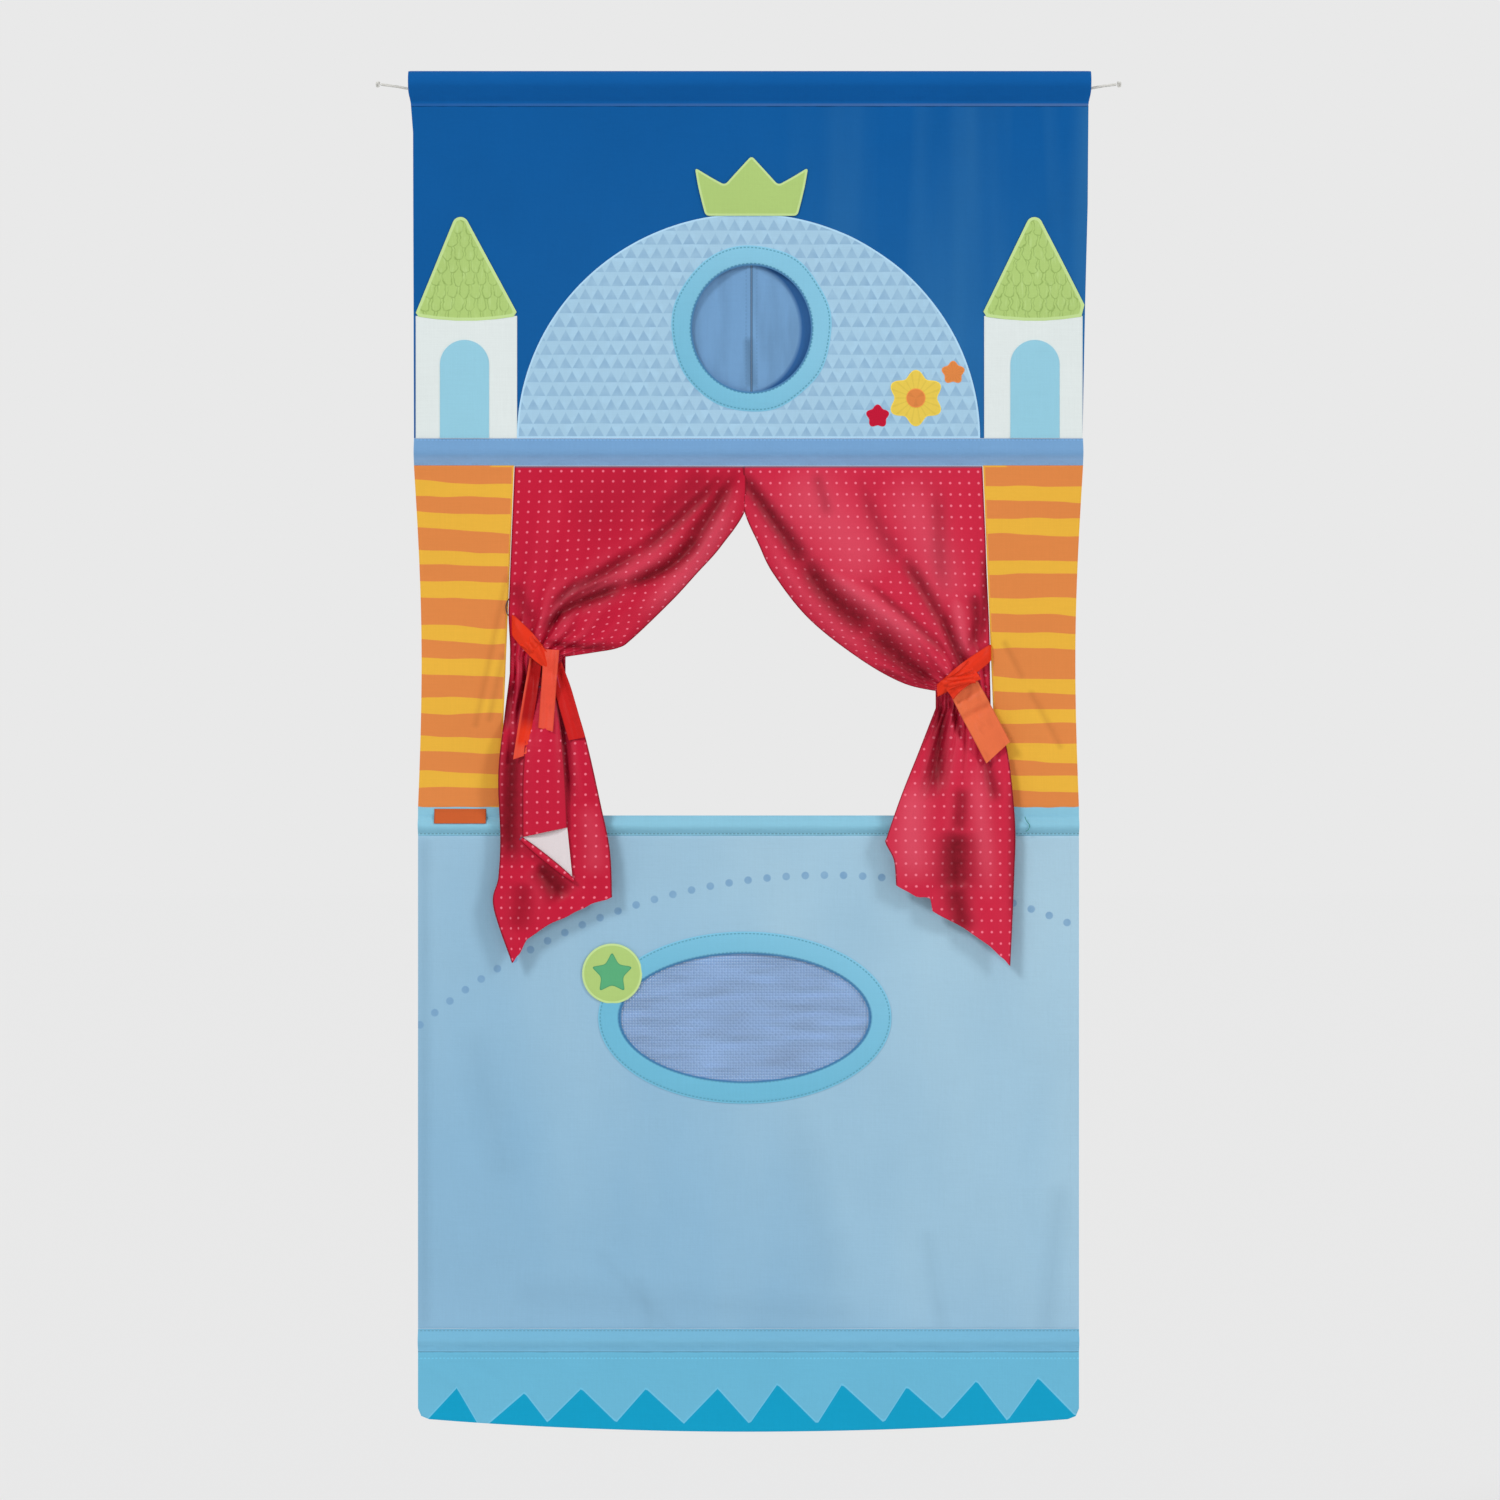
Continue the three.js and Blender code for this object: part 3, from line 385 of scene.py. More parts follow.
class Finish:
    """A cloth's material. Its prints, and its painted light and shade, are laid over the dye one by one, in
    the cloth's cut map.
    """

    def __init__(self, name, dye_colour, roughness=0.86, sheen=0.02, weave=0.0011, satin=False):
        self.material, self.tree, self.shader = new_material(name)
        self.cut = add_node(self.tree, "ShaderNodeUVMap", uv_map="cut")
        self.x, self.z = self.parts(self.cut)
        self.along, self.edge = self.parts(add_node(self.tree, "ShaderNodeUVMap", uv_map="trim"))
        self.colour = tuple(dye_colour)
        self.roughness = roughness
        self.weave = weave
        self.satin = satin
        self.relief = None
        self.shader.inputs["Specular IOR Level"].default_value = 0.12 if satin else 0.08
        self.shader.inputs["Sheen Weight"].default_value = sheen
        self.shader.inputs["Sheen Roughness"].default_value = 0.45

    def parts(self, vector):
        separate = self.tree.nodes.new("ShaderNodeSeparateXYZ")
        self.tree.links.new(vector.socket, separate.inputs[0])
        return Signal(separate.outputs[0]), Signal(separate.outputs[1])

    def lay(self, mask, colour):
        """Lays a colour over what is there, where the mask is 1. Prints, painted light and painted shade all
        go on this way.
        """
        self.colour = mix(self.tree, mask, self.colour, tuple(colour))

    def grain(self, across, down, detail=2.0, distortion=0.0):
        """Noise from 0 to 1, with that many grains a metre."""
        return mottling(self.tree, stretched(self.tree, self.cut, across, down, 1.0), 1.0, detail, distortion)

    def raise_by(self, height):
        self.relief = height if self.relief is None else self.relief + height

    def stitches(self, along, gap, colour):
        """A row of stitches where the gap is 0, as dashes along it."""
        dash = (along / stitch_pitch).fract().below(stitch_length_share, 0.08)
        row = gap.absolute().below(stitch_width, stitch_width / 2)
        mask = dash.both(row)
        self.lay(mask, colour)
        self.raise_by(mask * 0.0002 - gap.absolute().below(2 * stitch_width, 2 * stitch_width) * 0.0004)

    def mark(self, start, end, width, strength, colour):
        """A painted shadow along a line between two points, as in a crease."""
        span = Vector(end) - Vector(start)
        across, up = self.x - start[0], self.z - start[1]
        along = (across * (span.x / span.length_squared) + up * (span.y / span.length_squared)).clamped()
        across, up = across - along * span.x, up - along * span.y
        gap = (across * across + up * up).maths("SQRT")
        self.lay(gap.below(width, width) * strength, colour)

    def done(self, mottle=0.08):
        """Adds the dye's unevenness, the threads and the weave, and returns the material."""
        slow = self.grain(9, 9, 3) - 0.5
        slubs = self.grain(900, 24) + self.grain(24, 900) - 1.0
        shade = slow * mottle + slubs * 0.07 + 1.0
        feed(self.shader, "Base Color", mix(self.tree, 1.0, self.colour, shade, "MULTIPLY"))
        if self.satin:
            threads = self.grain(1500, 60) * thread_relief
        else:
            turn = 2 * pi / self.weave
            threads = (self.x * turn).maths("SINE") * (self.z * turn).maths("SINE") * thread_relief
        self.raise_by(threads + self.grain(170, 170, 4) * crumple_relief)
        bump = {"Height": self.relief, "Distance": 1.0, "Strength": 0.55}
        feed(self.shader, "Normal", add_node(self.tree, "ShaderNodeBump", bump))
        feed(self.shader, "Roughness", self.grain(60, 60) * 0.1 + (self.roughness - 0.05))
        return self.material


# Outlines, as lists of (x, z)


def arc(x, z, across, up, start, end, steps):
    angles = [radians(start + (end - start) * i / steps) for i in range(steps + 1)]
    return [(x + across * cos(angle), z + up * sin(angle)) for angle in angles]


def ring_points(x, z, across, up, steps=96):
    return arc(x, z, across, up, 0, 360, steps)[:-1]


def rounded(points, radius, steps=5):
    """The outline with each corner turned into a small curve."""
    result = []
    for i, corner in enumerate(points):
        here = Vector(corner)
        before, after = Vector(points[i - 1]) - here, Vector(points[(i + 1) % len(points)]) - here
        first = here + before.normalized() * min(radius, before.length * 0.45)
        last = here + after.normalized() * min(radius, after.length * 0.45)
        for step in range(steps + 1):
            t = step / steps
            result.append(tuple(first * (1 - t) ** 2 + here * 2 * t * (1 - t) + last * t**2))
    return result


def oblong(low, high):
    return [(low.x, low.z), (high.x, low.z), (high.x, high.z), (low.x, high.z)]


def spaced(points, spacing):
    """The closed outline with points no further apart than the spacing."""
    result = []
    for i, point in enumerate(points):
        here, there = np.array(point), np.array(points[(i + 1) % len(points)])
        steps = max(1, ceil(np.hypot(*(there - here)) / spacing))
        result.extend(here + (there - here) * j / steps for j in range(steps))
    return np.array(result)


def inside(points, loop):
    x, z = points.T
    found = np.zeros(len(points), bool)
    for (ax, az), (bx, bz) in zip(loop, np.roll(loop, -1, axis=0)):
        if az != bz:
            found ^= ((az > z) != (bz > z)) & (x < (bx - ax) * (z - az) / (bz - az) + ax)
    return found


def to_edge(points, loops):
    """Each point's distance to the nearest loop, and how far along that loop it is."""
    nearest, along = np.full(len(points), np.inf), np.zeros(len(points))
    for loop in loops:
        start = 0.0
        for a, b in zip(loop, np.roll(loop, -1, axis=0)):
            span = b - a
            reach = np.hypot(*span)
            t = np.clip(((points - a) @ span) / reach**2, 0, 1)
            gap = np.hypot(*(points - a - t[:, None] * span).T)
            along = np.where(gap < nearest, start + t * reach, along)
            nearest = np.minimum(gap, nearest)
            start += reach
    return nearest, along


def triangulate(outline, holes, spacing):
    """A net of triangles over the outline and outside its holes: points, triangles, edge gap, place along."""
    loops = [spaced(loop, spacing) for loop in (outline, *holes)]
    low, high = loops[0].min(0), loops[0].max(0)
    rows = np.arange(low[1], high[1], spacing * 0.87)
    grid = np.array([
        (x, z) for i, z in enumerate(rows)
        for x in np.arange(low[0] + (i % 2) * spacing / 2, high[0], spacing)
    ])
    near = [
        spaced(loop, spacing) + offset * outwards(spaced(loop, spacing), index == 0)
        for index, loop in enumerate((outline, *holes)) for offset in (0.0016, 0.0034)
    ]
    kept = []
    for points, least in [(grid, 0.0034 + spacing * 0.55)] + [(band, 0.00155) for band in near]:
        gap, _ = to_edge(points, loops)
        fits = inside(points, loops[0]) & (gap > least)
        for hole in loops[1:]:
            fits &= ~inside(points, hole)
        kept.append(points[fits])
    edges, start = [], 0
    for loop in loops:
        edges += [(start + i, start + (i + 1) % len(loop)) for i in range(len(loop))]
        start += len(loop)
    every = np.concatenate([*loops, *kept])
    made = geometry.delaunay_2d_cdt([Vector(p) for p in every], edges, [], 0, 1e-7)
    points = np.array([tuple(p) for p in made[0]])
    faces = np.array([tuple(f) for f in made[2] if len(f) == 3])
    middle = points[faces].mean(1)
    fits = inside(middle, loops[0])
    for hole in loops[1:]:
        fits &= ~inside(middle, hole)
    faces = faces[fits]
    a, b, c = (points[faces[:, i]] for i in range(3))
    turn = (b[:, 0] - a[:, 0]) * (c[:, 1] - a[:, 1]) - (b[:, 1] - a[:, 1]) * (c[:, 0] - a[:, 0])
    faces[turn < 0] = faces[turn < 0][:, ::-1]
    faces = faces[np.abs(turn) > 1e-12]
    gap, along = to_edge(points, loops)
    return points, faces, gap, along


def outwards(loop, inwards):
    """Unit steps away from the loop's line, to its inner side or its outer side."""
    span = np.roll(loop, -1, axis=0) - np.roll(loop, 1, axis=0)
    normal = np.stack([-span[:, 1], span[:, 0]], 1) / np.hypot(*span.T)[:, None]
    x, z = loop.T
    area = (x * np.roll(z, -1) - np.roll(x, -1) * z).sum()
    return normal * (1 if (area > 0) == inwards else -1)


# Meshes


def add_piece(name, mesh, material, smoothed=True):
    """A piece from its mesh, smooth up to its sharp edges."""
    if smoothed:
        mesh.polygons.foreach_set("use_smooth", np.ones(len(mesh.polygons), bool))
        mesh.set_sharp_from_angle(angle=radians(60))
    mesh.materials.append(material)
    piece = bpy.data.objects.new(name, mesh)
    bpy.context.scene.collection.objects.link(piece)
    return piece


def lay_out(mesh, places):
    """Gives a mesh its cut map, from a place for each point."""
    layer = mesh.uv_layers.new(name="cut")
    for loop in mesh.loops:
        layer.data[loop.index].uv = places[loop.vertex_index]


def closed_cloth(name, middle, normals, thickness, faces, maps, material):
    """A piece with two faces and a rim, from the middle of a cloth and its thickness at each point."""
    count = len(middle)
    faces = [tuple(int(i) for i in face) for face in faces]
    directed = {(face[i - 1], face[i]) for face in faces for i in range(len(face))}
    rim = [(a, b) for a, b in directed if (b, a) not in directed]
    rim.sort()
    on_rim = np.zeros(count, bool)
    on_rim[[i for edge in rim for i in edge]] = True
    half = np.where(on_rim, 0.3, 0.5) * thickness
    points = np.concatenate([middle + normals * half[:, None], middle - normals * half[:, None]])
    back = [tuple(i + count for i in reversed(face)) for face in faces]
    sides = [(a, a + count, b + count, b) for a, b in rim]
    mesh = bpy.data.meshes.new(name)
    mesh.from_pydata(points.tolist(), [], faces + back + sides)
    loops = np.empty(len(mesh.loops), np.int32)
    mesh.loops.foreach_get("vertex_index", loops)
    for map_name, values in maps.items():
        layer = mesh.uv_layers.new(name=map_name)
        layer.data.foreach_set("uv", np.asarray(values, np.float32)[loops % count].ravel())
    return add_piece(name, mesh, material)


def flat_cloth(name, outline, material, depth, thickness, holes=(), spacing=None, hem=0.0, puff=0.0):
    """A cloth cut to an outline in X and Z. depth(x, z) is how far back its middle lies."""
    spacing = spacing or bpy.context.scene.theatre_sizes.mesh
    points, faces, gap, along = triangulate(outline, holes, spacing)
    y = np.array([depth(x, z) for x, z in points])
    y = y - puff * (1 - np.exp(-gap / 0.004))
    middle = np.stack([points[:, 0], y, points[:, 1]], 1)
    walls = np.full(len(points), float(thickness))
    if hem:
        walls += 0.8 * thickness * np.clip((hem - gap) / 0.0015, 0, 1) * np.clip(gap / 0.001, 0, 1)
    normals = np.tile((0.0, -1.0, 0.0), (len(points), 1))
    maps = {"cut": points, "trim": np.stack([along, gap], 1)}
    piece = closed_cloth(name, middle, normals, walls, faces, maps, material)
    a, b, c = (points[faces[:, i]] for i in range(3))
    turn = (b[:, 0] - a[:, 0]) * (c[:, 1] - a[:, 1]) - (b[:, 1] - a[:, 1]) * (c[:, 0] - a[:, 0])
    piece["flat_area"] = float(np.abs(turn).sum() / 2)
    return piece


def grid_cloth(
    name, surface, columns, rows, thickness, material, upright=False, hangs=None, tone=None, first_wall=1.0,
):
    """A cloth on a grid. surface(u, v) is its middle. Its cut map is its own lengths, or X and Z if upright.

    hangs gives each row's share, from 0 to 1, of a cut map that follows X and Z but crowds in the folds.
    tone(x, z) gives the painted shade and the painted highlight there, which join those of the hollows and
    crests in the fold map. first_wall is the share of the thickness that the first row has.
    """
    wide, tall = columns + 1, len(rows)
    grid = np.array([[surface(u, v) for u in np.linspace(0, 1, wide)] for v in rows])
    across = np.linalg.norm(np.diff(grid, axis=1), axis=2)
    down = np.linalg.norm(np.diff(grid, axis=0), axis=2)
    cut = np.zeros((tall, wide, 2))
    cut[:, 1:, 0] = np.cumsum(across, axis=1)
    cut[1:, :, 1] = -np.cumsum(down, axis=0)
    to_side = np.minimum(cut[:, :, 0] - cut[:, :1, 0], cut[:, -1:, 0] - cut[:, :, 0])
    if upright:
        cut = grid[:, :, [0, 2]]
    if hangs is not None:
        share = np.asarray(hangs)[:, None]
        reach = (grid[:, -1:, 0] - grid[:, :1, 0]) / cut[:, -1:, 0]
        cut[:, :, 0] = lerp(cut[:, :, 0], grid[:, :1, 0] + cut[:, :, 0] * reach, share)
        cut[:, :, 1] = lerp(cut[:, :, 1], grid[:, :, 2], share)
    middle = grid.reshape(-1, 3)
    starts = [row * wide + column for row in range(tall - 1) for column in range(columns)]
    faces = np.array([(i + wide, i + wide + 1, i + 1, i) for i in starts])
    normals = np.zeros_like(middle)
    corners = middle[faces]
    face_normals = np.cross(corners[:, 2] - corners[:, 0], corners[:, 3] - corners[:, 1])
    for i in range(4):
        np.add.at(normals, faces[:, i], face_normals)
    if normals[:, 1].sum() > 0:
        normals, faces = -normals, faces[:, ::-1]
    normals /= np.maximum(np.linalg.norm(normals, axis=1), 1e-12)[:, None]
    walls = np.full(len(middle), float(thickness))
    walls[:wide] *= first_wall
    # Painted shade in the cloth's hollows and painted highlight on its crests, for the fold map
    behind = hollows(grid[:, :, 1]).ravel() / fold_shade
    tones = np.stack([np.clip(behind, 0, 1) * hollow_shade, np.clip(-behind, 0, 1) * crest_highlight], 1)
    if tone:
        drawn = np.array([tone(x, z) for x, _, z in middle])
        tones = np.maximum(tones * (1 - drawn[:, ::-1]), drawn)
    maps = {
        "cut": cut.reshape(-1, 2),
        "trim": np.stack([cut[:, :, 1].ravel(), to_side.ravel()], 1),
        "fold": tones,
    }
    piece = closed_cloth(name, middle, normals, walls, faces, maps, material)
    piece["flat_area"] = float(np.linalg.norm(face_normals, axis=1).sum() / 2)
    return piece


def hollows(depth):
    """How far each point of a grid lies behind the cloth to both sides of it."""
    reach = depth.shape[1] // 8
    padded = np.pad(depth, ((0, 0), (reach, reach)), mode="edge")
    sums = np.cumsum(np.pad(padded, ((0, 0), (1, 0))), axis=1)
    return depth - (sums[:, 2 * reach + 1:] - sums[:, :-2 * reach - 1]) / (2 * reach + 1)


def tube(name, path, radius, material, sides=16, plies=0, lay_length=0.01):
    """A round cord along a path. With plies it shows the strands that it is laid from."""
    points = [Vector(p) for p in path]
    vertices, maps, travelled = [], [], 0.0
    reference = Vector((0, 1, 0))
    for i, point in enumerate(points):
        ahead = points[min(i + 1, len(points) - 1)] - points[max(i - 1, 0)]
        if abs(ahead.normalized().dot(reference)) > 0.9:
            reference = Vector((0, 0, 1))
        first = ahead.cross(reference).normalized()
        second = ahead.cross(first).normalized()
        reference = first.cross(ahead).normalized()
        travelled += (point - points[i - 1]).length if i else 0.0
        for side in range(sides):
            angle = 2 * pi * side / sides
            ply = plies * (angle - 2 * pi * travelled / lay_length)
            size = radius * (1 - ply_groove * (1 - abs(cos(ply / 2)))) if plies else radius
            vertices.append(point + first * size * cos(angle) + second * size * sin(angle))
            maps.append((size * angle, travelled))
    faces = []
    for i in range(len(points) - 1):
        for side in range(sides):
            a, b = i * sides + side, i * sides + (side + 1) % sides
            faces.append((a, b, b + sides, a + sides))
    faces.append(tuple(reversed(range(sides))))
    last = (len(points) - 1) * sides
    faces.append(tuple(range(last, last + sides)))
    mesh = bpy.data.meshes.new(name)
    mesh.from_pydata([tuple(v) for v in vertices], [], faces)
    mesh.validate()
    lay_out(mesh, maps)
    return add_piece(name, mesh, material)


def spline(points, t):
    """A point of a smooth curve through the points, t from 0 to 1."""
    place = (len(points) - 1) * t
    at = min(int(place), len(points) - 2)
    share = place - at
    p = [np.array(points[min(max(at + i, 0), len(points) - 1)], float) for i in (-1, 0, 1, 2)]
    first, last = (p[2] - p[0]) / 2, (p[3] - p[1]) / 2
    return (
        (2 * p[1] - 2 * p[2] + first + last) * share**3
        + (3 * p[2] - 3 * p[1] - 2 * first - last) * share**2 + first * share + p[1]
    )


def smooth(t):
    t = min(max(t, 0.0), 1.0)
    return t * t * (3 - 2 * t)


def lerp(a, b, t):
    return a + (b - a) * t


def wander(x, z, pitch, seed=0.0):
    """Smooth noise from about -1 to 1 with bumps about a pitch apart."""
    return noise.noise(Vector((x / pitch, z / pitch, seed)))


def crease(x, z, start, end, depth, width):
    """A sharp fold between two points, fading at its ends."""
    a, b, p = Vector(start), Vector(end), Vector((x, z))
    span = b - a
    t = (p - a).dot(span) / span.length_squared
    if not -0.1 < t < 1.1:
        return 0.0
    gap = (p - a - span * t).length / width
    return depth * exp(-gap) * smooth((t + 0.1) / 0.4) * smooth((1.1 - t) / 0.4)


class Folds:
    """The folds of a cloth on a map over X and Z, which both come in as pixels of the photograph.

    A fold is (depth, tone, half width at its start, half width at its end, places along it). A tone above 0
    is painted shade and one below 0 is painted highlight. A fold fades out towards its ends.
    """

    def __init__(self, first, last, folds):
        self.low = np.array(first, float)
        sizes = ((np.array(last) - self.low) / fold_cell).astype(int) + 2
        cells = np.meshgrid(*(np.arange(size) for size in sizes), indexing="ij")
        places = np.stack(cells, -1) * fold_cell + self.low
        self.layers = np.zeros((4, *sizes))
        for depth, tone, first_width, last_width, *points in folds:
            line = np.array([spline(points, t) for t in np.linspace(0, 1, fold_steps)])
            reach = 3 * max(first_width, last_width)
            near = ((places > line.min(0) - reach) & (places < line.max(0) + reach)).all(-1)
            gaps = np.linalg.norm(places[near][:, None] - line[None], axis=2)
            share = gaps.argmin(1) / (fold_steps - 1)
            width = lerp(first_width, last_width, share)
            ends = np.clip(np.minimum(share, 1 - share) / fold_taper, 0, 1)
            ends = ends * ends * (3 - 2 * ends)
            for layer, value, spread in (
                (0, depth, 1.0), (1, -depth, 1.0), (2, tone, tone_spread), (3, -tone, tone_spread),
            ):
                if value > 0:
                    stroke = value * ends * np.exp(-((gaps.min(1) / (width * spread)) ** 2))
                    self.layers[layer][near] = np.maximum(self.layers[layer][near], stroke)

    def at(self, x, z):
        """The depth behind and before the cloth's plain form, and the painted shade and highlight, at a
        place.
        """
        place = np.array((x / photo_scale + photo_centre_x, photo_axis_y - z / photo_scale))
        cell = np.clip((place - self.low) / fold_cell, 0, np.array(self.layers.shape[1:]) - 1.001)
        (i, j), (a, b) = cell.astype(int), cell % 1
        corners = self.layers[:, i:i + 2, j:j + 2]
        return (1 - a) * ((1 - b) * corners[:, 0, 0] + b * corners[:, 0, 1]) + a * (
            (1 - b) * corners[:, 1, 0] + b * corners[:, 1, 1]
        )


def wear(piece, slot, body, *nodes):
    """Gives a piece its body and hides the nodes it stands for."""
    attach(piece, body)
    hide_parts(*nodes)


def span_joint(piece, slot, first, second, start_z, end_z, *nodes):
    """Bakes a piece's place into its mesh and hides the nodes it stands for."""
    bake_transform(piece)
    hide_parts(*nodes)


# How the panels hang


def slack_at(fall):
    """How free a cloth is between its seams, at a share of its height."""
    return sin(pi * min(max(fall, 0.0), 1.0))


def sky_depth(x, z):
    sizes = bpy.context.scene.theatre_sizes
    fall = (header_stitch_z - z) / (header_stitch_z - ledge_low - 0.03)
    slack = slack_at(fall)
    start = smooth((x - sky_fold_start) / 0.05)
    turn = 2 * pi * (x - sky_fold_start) / sky_fold_pitch + 1.6 * wander(x, z, 0.3, 4.0)
    folds = sizes.sky_fold * start * sin(turn) * slack**0.6 * (1 - 0.65 * smooth(fall / 0.8))
    puckers = 0.0005 * wander(x, z * 0.2, 0.009) * exp(-abs(fall) * 14)
    calm = smooth((hypot(x - window_x, z - window_z) - calm_radius) / 0.05)
    return calm * (folds + sizes.drift * 0.7 * slack * wander(x, z, 0.22, 1.0)) + puckers


def stage_depth(x, z):
    sizes = bpy.context.scene.theatre_sizes
    fall = (strip_top_z - z) / strip_height
    slack = slack_at(fall)
    return slack * sizes.drift * wander(x, z, 0.13, 2.0)


def lower_depth(x, z):
    sizes = bpy.context.scene.theatre_sizes
    fall = (panel_high - z) / (panel_high - panel_low)
    slack = slack_at(fall)
    seams = exp(-abs(fall) * 40) + exp(-abs(1 - fall) * 40)
    creases = crease(x, z, (-0.166, -1.283), (-0.085, -1.368), -0.0012, 0.008)
    creases += crease(x, z, (0.199, -1.32), (0.212, -1.348), -0.0012, 0.004)
    creases += crease(x, z, (0.338, -1.265), (0.333, -1.36), -0.0016, 0.009)
    return (
        slack * sizes.drift * 1.2 * wander(x, z, 0.2, 3.0) + creases
        + 0.0005 * seams * wander(x, z * 0.3, 0.011)
    )


def strip_outer(t):
    return lerp(sky_bottom_half, stage_half, t) - strip_draw_in * sin(pi * t)


def strip_inner(t):
    return lerp(strip_inner_top, strip_inner_bottom, t)


# Pieces


def make_cords(context):
    dyes = context.scene.theatre_colours
    finish = Finish("cord_finish", dyes.cord, 0.8, weave=0.0009)
    finish.lay((finish.grain(900, 300) - 0.45).clamped(3.0), (0.42, 0.42, 0.4))
    material = finish.done()
    drop, rise, straight = cord_exit_drop, 0.004, 0.004
    for side, name in both_sides:
        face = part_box(f"top_rod_cap_{name}")[1 if side > 0 else 0].x * side
        start = face + touch_gap
        route = [
            (start, -drop), (start + straight, -drop),
            (start + cord_reach / 2, -drop + rise / 2), (start + cord_reach, -drop + rise),
        ]
        line = [spline(route, i / 24) for i in range(25)]
        path = [(side * (face - 0.0005), 0.0, -drop)] + [(side * x, 0.0, z) for x, z in line]
        cord = tube(f"cord_{name}", path, cord_thickness / 2, material, 18, plies=3, lay_length=0.009)
        centre = Vector((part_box(f"hanging_knot_{name}")[0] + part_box(f"hanging_knot_{name}")[1])) / 2
        knot = tube(f"knot_{name}", knot_path(centre, side), 0.00125, material, 12, plies=3, lay_length=0.007)
        wear(cord, "cord", "top_rod_set", f"hanging_cord_{name}")
        wear(knot, "cord", "top_rod_set", f"hanging_knot_{name}")


def knot_path(centre, side):
    """An overhand knot pulled tight, closed on itself, with its short tail."""
    points = []
    for i in range(73):
        t = 2 * pi * i / 72
        x = sin(t) + 2 * sin(2 * t)
        y = cos(t) - 2 * cos(2 * t)
        points.append(centre + Vector((side * -sin(3 * t) * 1.6, x, y)) * 0.00082)
    return points


def make_hardware(context):
    steel = plain_finish("rod_finish", (0.62, 0.63, 0.65), 0.3, 1.0, 500.0)
    plastic = plain_finish("cap_finish", (0.72, 0.73, 0.75), 0.42, 0.0, 260.0)
    wood = wood_finish()
    for node, material in (
        ("top_rod", steel), ("top_rod_cap_left", plastic), ("top_rod_cap_right", plastic),
        ("ledge_rod", wood), ("stage_rod", wood), ("bottom_rod", wood),
        ("hanging_cord_inside", bpy.data.materials["cord_finish"]),
    ):
        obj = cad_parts[node]
        obj.data.materials.clear()
        obj.data.materials.append(material)


def plain_finish(name, colour, roughness, metallic, grain):
    """Metal or moulded plastic, with fine marks in its gloss."""
    material, tree, shader = new_material(name)
    shader.inputs["Metallic"].default_value = metallic
    place = add_node(tree, "ShaderNodeTexCoord", output=3)
    marks = mottling(tree, stretched(tree, place, 0.08, 1.0, 1.0), grain, 3.0)
    feed(shader, "Base Color", mix(tree, marks, toned(colour, 0.86), toned(colour, 1.1)))
    feed(shader, "Roughness", marks * 0.16 + (roughness - 0.08))
    bump = {"Height": marks, "Distance": 0.00004, "Strength": 0.5}
    feed(shader, "Normal", add_node(tree, "ShaderNodeBump", bump))
    return material


def wood_finish():
    """Turned softwood with its grain along the rod."""
    material, tree, shader = new_material("wood_finish")
    place = add_node(tree, "ShaderNodeTexCoord", output=3)
    rings = mottling(tree, stretched(tree, place, 6.0, 260.0, 260.0), 1.0, 5.0)
    feed(shader, "Base Color", mix(tree, rings, (0.36, 0.22, 0.11), (0.72, 0.52, 0.32)))
    feed(shader, "Roughness", rings * 0.2 + 0.5)
    bump = {"Height": rings, "Distance": 0.0001, "Strength": 0.5}
    feed(shader, "Normal", add_node(tree, "ShaderNodeBump", bump))
    return material


